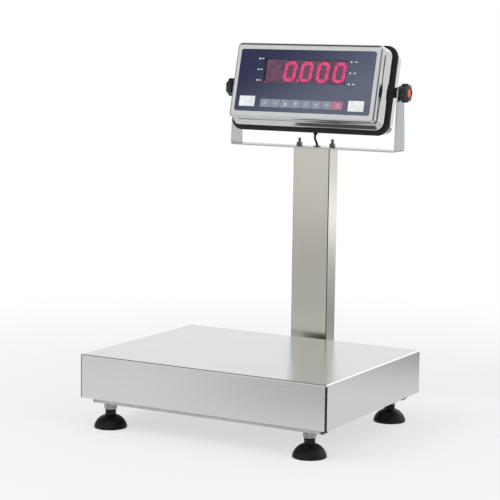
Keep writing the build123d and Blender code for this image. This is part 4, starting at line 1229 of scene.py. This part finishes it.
def panel_marks(context):
    """Blank plates, lamp dots and short bars printed on the film."""
    height = context.scene.scale_sizes.print_height
    ink = moulded_plastic("pale_panel_ink", context.scene.scale_colours.ink, 0.45)
    plate_height, plate_corner = 0.016, 0.001
    dot_radius, bar_width, bar_height = 0.0013, 0.0045, 0.0011
    marks = [
        slab("plate", width, plate_height, height, plate_corner, at, height)
        for width, at in ((0.027, (-0.0945, -0.033)), (0.026, (0.092, -0.035)))
    ]
    # Three dots down each side of the window, each with a bar beside it
    for dot_at, bar_at, dot_rises in (
        (-0.0817, -0.0765, (0.0336, 0.0167, -0.0001)),
        (0.0755, 0.0832, (0.0316, 0.0145, -0.0023)),
    ):
        for rise in dot_rises:
            dot = turned("dot", [(dot_radius, 0), (dot_radius, height)], sides=20)
            marks.append(place(dot, Matrix.Translation((dot_at, rise, 0))))
            marks.append(bar_mark("bar", bar_width, bar_height, (bar_at, rise), height))
    printed = join("panel_marks", marks)
    place(printed, FACE @ Matrix.Translation((0, 0, -FILM_DEPTH)))
    dress(printed, "indicator", ink, "panel_film")


def warning_lamp(context):
    """Small red lamp that glows behind the window's lower left corner."""
    behind = depths("display_window")[1] + 0.0001
    lamp = slab("warning_lamp", 0.0038, 0.0017, 0.0003, 0.0008, (-0.0692, -0.0017), 0)
    place(lamp, FACE @ Matrix.Translation((0, 0, -behind)))
    red = lit_bar("lit_red_lamp", context.scene.scale_colours.lit)
    dress(lamp, "indicator", red, "lit_red")


def add_panel(context):
    """Front panel: printed film, smoked window, lit and unlit bars, and printed marks."""
    colours = context.scene.scale_colours
    film = panel_film("printed_polyester_film", colours.film, colours.film_painted_sheen)
    unlit = moulded_plastic("unlit_segment_plastic", linear("#893f5d"), 0.4, gloss=0.15)
    block = moulded_plastic("digit_block_plastic", linear("#6f526c"), 0.5, gloss=0.15)
    finish(film, "overlay")
    finish(smoked_window("smoked_acrylic"), "display_window")
    finish(lit_bar("lit_segment_plastic", colours.lit), "lit_segments")
    finish(unlit, "dark_segments")
    finish(block, "display_block")
    light_spill(context)
    panel_marks(context)
    warning_lamp(context)


def knob_grip(context):
    """One lobed clamp knob along Z, its hub at the origin and its open end up."""
    lobes = context.scene.scale_sizes.knob_lobes
    per_lobe = 12
    radius, valley, start, full = 0.0145, 0.0016, 0.0025, 1.06
    grip = add(
        "grip", bpy.ops.mesh.primitive_circle_add, vertices=lobes * per_lobe, radius=radius,
        fill_type="NGON", location=(0, 0, start),
    )
    bpy.ops.object.mode_set(mode="EDIT")
    for share in range(1, per_lobe // 2 + 1):
        def in_scallop(vertex, share=share):
            """Whether a point lies this many steps from the middle of a lobe."""
            step = round(atan2(vertex.co.y, vertex.co.x) / (2 * pi) * lobes * per_lobe)
            step %= per_lobe
            return min(step, per_lobe - step) == share
        pick("VERT", in_scallop)
        fall = valley * (1 - cos(pi * share / (per_lobe / 2))) / 2
        scale = 1 - fall / radius
        bpy.ops.transform.resize(value=(scale, scale, 1), center_override=(0, 0, 0))
    bpy.ops.mesh.select_mode(type="FACE")
    bpy.ops.mesh.select_all(action="SELECT")
    height, size = start, 1.0
    # Heights and widths of the grip, as shares of its foot: bevel, straight side, rounded
    # shoulder, and the mouth that the cap sits in
    stations = [
        (0.0030, 1.035), (0.0036, full), (0.0100, full), (0.0112, 1.05), (0.0122, 1.0),
        (0.0134, 0.74), (0.0140, 0.63), (0.0141, 0.60), (0.0140, 0.56), (0.0130, 0.555),
    ]
    for next_height, next_size in stations:
        bpy.ops.mesh.extrude_region_move(
            TRANSFORM_OT_translate={"value": (0, 0, next_height - height)}
        )
        share = next_size / size
        bpy.ops.transform.resize(value=(share, share, 1), center_override=(0, 0, next_height))
        height, size = next_height, next_size
    close_up()
    place(grip, Matrix.Diagonal((1 / full, 1 / full, 1, 1)))
    hub = turned("hub", [(0.0105, 0), (0.011, 0.0005), (0.011, 0.0022), (0.0105, 0.0027)])
    return grip, hub


def knob_cap(name):
    """The round cap pressed into a knob's mouth, sunk a little below its edge."""
    radius = 0.0072
    return turned(
        name,
        [(radius, 0.0112), (radius, 0.0127), (radius * 0.94, 0.0130), (radius * 0.62, 0.0132),
         (radius * 0.3, 0.0133)],
    )


def add_knobs(context):
    """Clamp knobs at the ends of the pivot, each with an inset cap."""
    black = moulded_plastic("moulded_black_nylon", linear("#1a1b20"), 0.3)
    red = moulded_plastic("moulded_red_cap", context.scene.scale_colours.cap, 0.3)
    knob_length, stud_radius = 0.0145, 0.003
    for side, hand in ((-1, "left"), (1, "right")):
        low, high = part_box(f"knob_{hand}")
        outer, inner = (high.x, low.x) if side > 0 else (low.x, high.x)
        start = outer - side * knob_length
        axis = middle(f"knob_cap_{hand}")
        stand = Matrix.Translation((start, axis.y, axis.z)) @ Matrix.Rotation(side * pi / 2, 4, "Y")
        grip, hub = knob_grip(context)
        reach = abs(start - inner)
        stud = turned("stud", [(stud_radius, -reach), (stud_radius, 0)], sides=32)
        knob = join(f"clamp_knob_{hand}", [grip, hub, stud])
        place(knob, stand @ Matrix.Rotation(pi / 2, 4, "Z"))
        dress(knob, f"knob_{hand}", black, "knob_black", f"knob_{hand}")
        cap = place(knob_cap(f"knob_inset_cap_{hand}"), stand)
        dress(cap, f"knob_{hand}", red, "cap_red", f"knob_cap_{hand}")


def add_cable(context):
    """Signal cable from the column's top into the display, bent to reach the leaning display."""
    radius, exit_length, root_depth, straight = 0.0018, 0.005, 0.002, 0.003
    bow = Vector((-0.002, -0.0065, 0.0125))
    exit_y = middle("cable_grommet").y
    foot = Vector((0, exit_y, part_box("u_bracket")[0].z + root_depth))
    relief_across = sum(span("cable_relief", ACROSS)) / 2
    relief_out = sum(span("cable_relief", OUTWARD)) / 2
    relief_low, relief_high = span("cable_relief", UPWARD)
    def on_axis(rise):
        """Point on the relief's axis at a height up the display."""
        return ACROSS * relief_across + OUTWARD * relief_out + UPWARD * rise
    points = [
        foot, foot + Vector((0, 0, exit_length)), foot + bow, on_axis(relief_low - straight),
        on_axis(relief_high),
    ]
    deselect()
    bpy.ops.curve.primitive_nurbs_path_add()
    route = bpy.context.object
    route.name = "display_lead"
    route.data.splines.remove(route.data.splines[0])
    spline = route.data.splines.new("NURBS")
    spline.points.add(len(points) - 1)
    for control, point in zip(spline.points, points):
        control.co = (*point, 1)
    spline.order_u = 4
    spline.use_endpoint_u = True
    route.data.resolution_u = 16
    route.data.bevel_depth = radius
    route.data.bevel_resolution = 5
    route.data.use_fill_caps = True
    bpy.ops.object.convert(target="MESH")
    lead = bpy.context.object
    bpy.ops.object.shade_smooth()
    jacket = rubber("pvc_cable_jacket", linear("#1b1b1d"))
    finish(jacket, lead, "column_cable")
    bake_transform(lead)
    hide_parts("indicator_lead")


def add_electronics(context):
    """Boards, standoffs and battery inside the display."""
    brass = plain_metal("turned_brass", "#b08a42", "#c9a45c", 0.2, 0.35, 0.003)
    finish(circuit_laminate("glass_epoxy_board"), "main_board", "keypad_board")
    finish(brass, "board_standoffs")
    finish(moulded_plastic("shrink_wrapped_battery", linear("#1f2226"), 0.4), "battery")


def flags(tree, direction):
    """Share of light left by the studio flags, for a unit direction socket."""
    # How far a flag's soft edge reaches outwards and inwards, as cosines
    outer_edge, inner_edge = 0.10, 0.12
    light = None
    for towards, spread, share in STUDIO_FLAGS:
        aim = add_node(
            tree, "ShaderNodeVectorMath",
            {"operation": "DOT_PRODUCT", 1: Vector(towards).normalized()}, {0: direction},
        ).outputs["Value"]
        edge = cos(radians(spread))
        left = add_node(
            tree, "ShaderNodeMapRange",
            {**SMOOTH, "From Min": edge - min(outer_edge, 1 - edge),
             "From Max": min(edge + inner_edge, 1), "To Min": 1.0, "To Max": share},
            {"Value": aim},
        ).outputs["Result"]
        if light:
            left = add_node(
                tree, "ShaderNodeMath", {"operation": "MULTIPLY"}, {0: light, 1: left}
            ).outputs[0]
        light = left
    return light


def seen_directly(tree):
    """1 for rays from the camera, or through glass."""
    path = add_node(tree, "ShaderNodeLightPath")
    return add_node(
        tree, "ShaderNodeMath", {"operation": "MAXIMUM"},
        {0: path.outputs["Is Camera Ray"], 1: path.outputs["Is Transmission Ray"]},
    ).outputs[0]


def studio_world(settings):
    """White surroundings for the camera, with dark flags in reflections, and an even light."""
    world = bpy.data.worlds.new("studio_world")
    bpy.context.scene.world = world
    world.use_nodes = True
    tree = world.node_tree
    tree.nodes.clear()
    direction = add_node(tree, "ShaderNodeTexCoord").outputs["Generated"]
    even = add_node(
        tree, "ShaderNodeBackground",
        {"Color": (*linear("#f7f9fb"), 1), "Strength": settings.ambient},
    )
    mirrored = add_node(tree, "ShaderNodeBackground", links={"Strength": flags(tree, direction)})
    mirrored.inputs["Color"].default_value = (*linear("#fbfcfc"), 1)
    white = add_node(tree, "ShaderNodeBackground", {"Color": (1, 1, 1, 1), "Strength": 1.0})
    glossy = add_node(tree, "ShaderNodeLightPath").outputs["Is Glossy Ray"]
    reflected = add_node(
        tree, "ShaderNodeMixShader", links={0: glossy, 1: even.outputs[0], 2: mirrored.outputs[0]}
    )
    shown = add_node(
        tree, "ShaderNodeMixShader",
        links={0: seen_directly(tree), 1: reflected.outputs[0], 2: white.outputs[0]},
    )
    add_node(tree, "ShaderNodeOutputWorld", links={"Surface": shown.outputs[0]})


def floor_material():
    """Pale matt floor that keeps a soft shadow near the scale and fades to white further out."""
    material, tree, shader = start_material("pale_floor", Roughness=0.9)
    shader.inputs["Base Color"].default_value = (*linear("#ebecec"), 1)
    place_in = add_node(tree, "ShaderNodeTexCoord").outputs["Object"]
    far = add_node(
        tree, "ShaderNodeVectorMath", {"operation": "LENGTH"}, {0: place_in}
    ).outputs["Value"]
    outwards = add_node(
        tree, "ShaderNodeVectorMath", {"operation": "NORMALIZE"}, {0: place_in}
    ).outputs["Vector"]
    # In reflections the floor is a lit table with a darker room round it and a pale wall beyond
    out_of_room = add_node(
        tree, "ShaderNodeMapRange", {**SMOOTH, "From Max": 4.0}, {"Value": far}
    ).outputs["Result"]
    table = add_node(
        tree, "ShaderNodeValToRGB", links={"Fac": out_of_room},
        stops=[(0.0, (0.95,) * 3), (0.21, (0.92,) * 3), (0.30, (0.58,) * 3),
               (0.45, (0.62,) * 3), (0.75, (1.05,) * 3)],
    ).outputs["Color"]
    past_table = add_node(
        tree, "ShaderNodeMapRange", {**SMOOTH, "From Min": 0.7, "From Max": 1.2},
        {"Value": far},
    ).outputs["Result"]
    room = add_node(
        tree, "ShaderNodeMix", {2: 1.0}, {"Factor": past_table, 3: flags(tree, outwards)}
    ).outputs[0]
    for spot, reach, left in FLOOR_POOLS:
        away = add_node(
            tree, "ShaderNodeVectorMath", {"operation": "DISTANCE", 1: spot}, {0: place_in}
        ).outputs["Value"]
        pool = add_node(
            tree, "ShaderNodeMapRange",
            {**SMOOTH, "From Min": 0.2 * reach, "From Max": reach, "To Min": left},
            {"Value": away},
        ).outputs["Result"]
        room = add_node(
            tree, "ShaderNodeMath", {"operation": "MULTIPLY"}, {0: room, 1: pool}
        ).outputs[0]
    mirrored = add_node(
        tree, "ShaderNodeEmission", links={"Color": table, "Strength": room}
    )
    paleness = add_node(
        tree, "ShaderNodeMapRange",
        {**SMOOTH, "From Min": 0.35, "From Max": 1.3, "To Min": 0.6}, {"Value": far},
    ).outputs["Result"]
    share = add_node(
        tree, "ShaderNodeMath", {"operation": "MULTIPLY"}, {0: seen_directly(tree), 1: paleness}
    ).outputs[0]
    white = add_node(tree, "ShaderNodeEmission", {"Color": (1, 1, 1, 1), "Strength": 1.0})
    shown = add_node(
        tree, "ShaderNodeMixShader", links={0: share, 1: shader.outputs[0], 2: white.outputs[0]}
    )
    path = add_node(tree, "ShaderNodeLightPath")
    reflected = add_node(
        tree, "ShaderNodeMapRange",
        {**SMOOTH, "From Min": 0.33, "From Max": 0.7, "To Min": 0.6}, {"Value": far},
    ).outputs["Result"]
    glossy = add_node(
        tree, "ShaderNodeMath", {"operation": "MULTIPLY"},
        {0: path.outputs["Is Glossy Ray"], 1: reflected},
    ).outputs[0]
    mixed = add_node(
        tree, "ShaderNodeMixShader", links={0: glossy, 1: shown.outputs[0], 2: mirrored.outputs[0]}
    )
    output = next(node for node in tree.nodes if node.type == "OUTPUT_MATERIAL")
    tree.links.new(mixed.outputs[0], output.inputs["Surface"])
    return material


def add_lamp(name, location, target, size, power):
    """A square soft lamp at a place, turned towards a target."""
    deselect()
    away = Vector(location) - Vector(target)
    bpy.ops.object.light_add(
        type="AREA", location=location, rotation=away.to_track_quat("Z", "Y").to_euler()
    )
    lamp = bpy.context.object
    lamp.name = name
    lamp.data.shape = "SQUARE"
    lamp.data.size = size
    lamp.data.energy = power
    lamp.visible_glossy = False


def add_stage(context):
    """Floor, surroundings, lamps, and the camera at the photograph's viewing angle."""
    settings = context.scene.scale_stage
    context.scene.view_settings.view_transform = "Standard"
    studio_world(settings)
    floor = add("floor", bpy.ops.mesh.primitive_plane_add, size=60)
    finish(floor_material(), floor)
    centre = (0, 0, 0.25)
    add_lamp("key_lamp", (-1.3, -1.9, 2.3), centre, 1.6, settings.key_power)
    add_lamp("fill_lamp", (2.2, -0.4, 1.3), centre, 1.4, settings.fill_power)
    deselect()
    # The camera stands to the right of the front, a little above the platter and far back
    stand = Vector((PLATTER_MIDDLE.x, PLATTER_MIDDLE.y, PLATTER_TOP))
    away = Vector((1.2057, -2.1010, 0.4643))
    heading, tip, roll = radians(28.28), radians(90 - 7.36), radians(0.97)
    turn = (
        Matrix.Rotation(heading, 3, "Z") @ Matrix.Rotation(tip, 3, "X")
        @ Matrix.Rotation(roll, 3, "Z")
    )
    bpy.ops.object.camera_add(
        location=stand + away, rotation=turn.to_euler()
    )
    camera = bpy.context.object
    camera.data.sensor_width = 36.0
    camera.data.lens = settings.lens
    camera.data.shift_x = -0.10
    context.scene.camera = camera


class SCALE_OT_stage(bpy.types.Operator):
    """Floor, surroundings, lamps and camera"""

    bl_idname = "scale.stage"
    bl_label = "Stage"

    def execute(self, context):
        add_stage(context)
        return {"FINISHED"}


class SCALE_OT_platter(bpy.types.Operator):
    """Brushed stainless platter"""

    bl_idname = "scale.platter"
    bl_label = "Platter"

    def execute(self, context):
        add_platter(context)
        return {"FINISHED"}


class SCALE_OT_frame(bpy.types.Operator):
    """Frame, load cell and screws under the platter"""

    bl_idname = "scale.frame"
    bl_label = "Frame"

    def execute(self, context):
        add_frame(context)
        return {"FINISHED"}


class SCALE_OT_feet(bpy.types.Operator):
    """Levelling feet with threaded studs and lock nuts"""

    bl_idname = "scale.feet"
    bl_label = "Feet"

    def execute(self, context):
        add_feet(context)
        return {"FINISHED"}


class SCALE_OT_column(bpy.types.Operator):
    """Column and U-bracket with their screws"""

    bl_idname = "scale.column"
    bl_label = "Column"

    def execute(self, context):
        add_column(context)
        return {"FINISHED"}


class SCALE_OT_housing(bpy.types.Operator):
    """Shells, gasket and screws of the display"""

    bl_idname = "scale.housing"
    bl_label = "Housing"

    def execute(self, context):
        add_housing(context)
        return {"FINISHED"}


class SCALE_OT_panel(bpy.types.Operator):
    """Front film, window, digits and printed marks"""

    bl_idname = "scale.panel"
    bl_label = "Panel"

    def execute(self, context):
        add_panel(context)
        return {"FINISHED"}


class SCALE_OT_keys(bpy.types.Operator):
    """Keys with their printed symbols"""

    bl_idname = "scale.keys"
    bl_label = "Keys"

    def execute(self, context):
        add_keys(context)
        return {"FINISHED"}


class SCALE_OT_knobs(bpy.types.Operator):
    """Lobed clamp knobs with inset caps"""

    bl_idname = "scale.knobs"
    bl_label = "Knobs"

    def execute(self, context):
        add_knobs(context)
        return {"FINISHED"}


class SCALE_OT_cable(bpy.types.Operator):
    """Signal cable between column and display"""

    bl_idname = "scale.cable"
    bl_label = "Cable"

    def execute(self, context):
        add_cable(context)
        return {"FINISHED"}


class SCALE_OT_electronics(bpy.types.Operator):
    """Boards and battery inside the display"""

    bl_idname = "scale.electronics"
    bl_label = "Electronics"

    def execute(self, context):
        add_electronics(context)
        return {"FINISHED"}


STEPS = (
    SCALE_OT_stage, SCALE_OT_platter, SCALE_OT_frame, SCALE_OT_feet, SCALE_OT_column,
    SCALE_OT_housing, SCALE_OT_panel, SCALE_OT_keys, SCALE_OT_knobs, SCALE_OT_cable,
    SCALE_OT_electronics,
)


class SCALE_PT_steps(bpy.types.Panel):
    """Buttons for each group of pieces, with the sizes, colours and stage settings"""

    bl_label = "Bench Weighing Scale"
    bl_space_type = "VIEW_3D"
    bl_region_type = "UI"
    bl_category = "Scale"

    def draw(self, context):
        """List the steps and the settings."""
        for made in STEPS:
            self.layout.operator(made.bl_idname)
        for group in (
            context.scene.scale_sizes, context.scene.scale_colours, context.scene.scale_stage
        ):
            for name in group.__annotations__:
                self.layout.prop(group, name)


CLASSES = (ScaleSizes, ScaleColours, StageSettings, *STEPS, SCALE_PT_steps)


def register():
    """Register the classes and hang the settings on the scene."""
    for made in CLASSES:
        bpy.utils.register_class(made)
    bpy.types.Scene.scale_sizes = PointerProperty(type=ScaleSizes)
    bpy.types.Scene.scale_colours = PointerProperty(type=ScaleColours)
    bpy.types.Scene.scale_stage = PointerProperty(type=StageSettings)


def unregister():
    """Take the settings and the classes away again."""
    del bpy.types.Scene.scale_stage
    del bpy.types.Scene.scale_colours
    del bpy.types.Scene.scale_sizes
    for made in reversed(CLASSES):
        bpy.utils.unregister_class(made)


def main():
    """Build the whole scale around its frame."""
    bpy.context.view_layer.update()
    register()
    for made in STEPS:
        group, name = made.bl_idname.split(".")
        getattr(getattr(bpy.ops, group), name)()


if __name__ == "__main__":
    main()
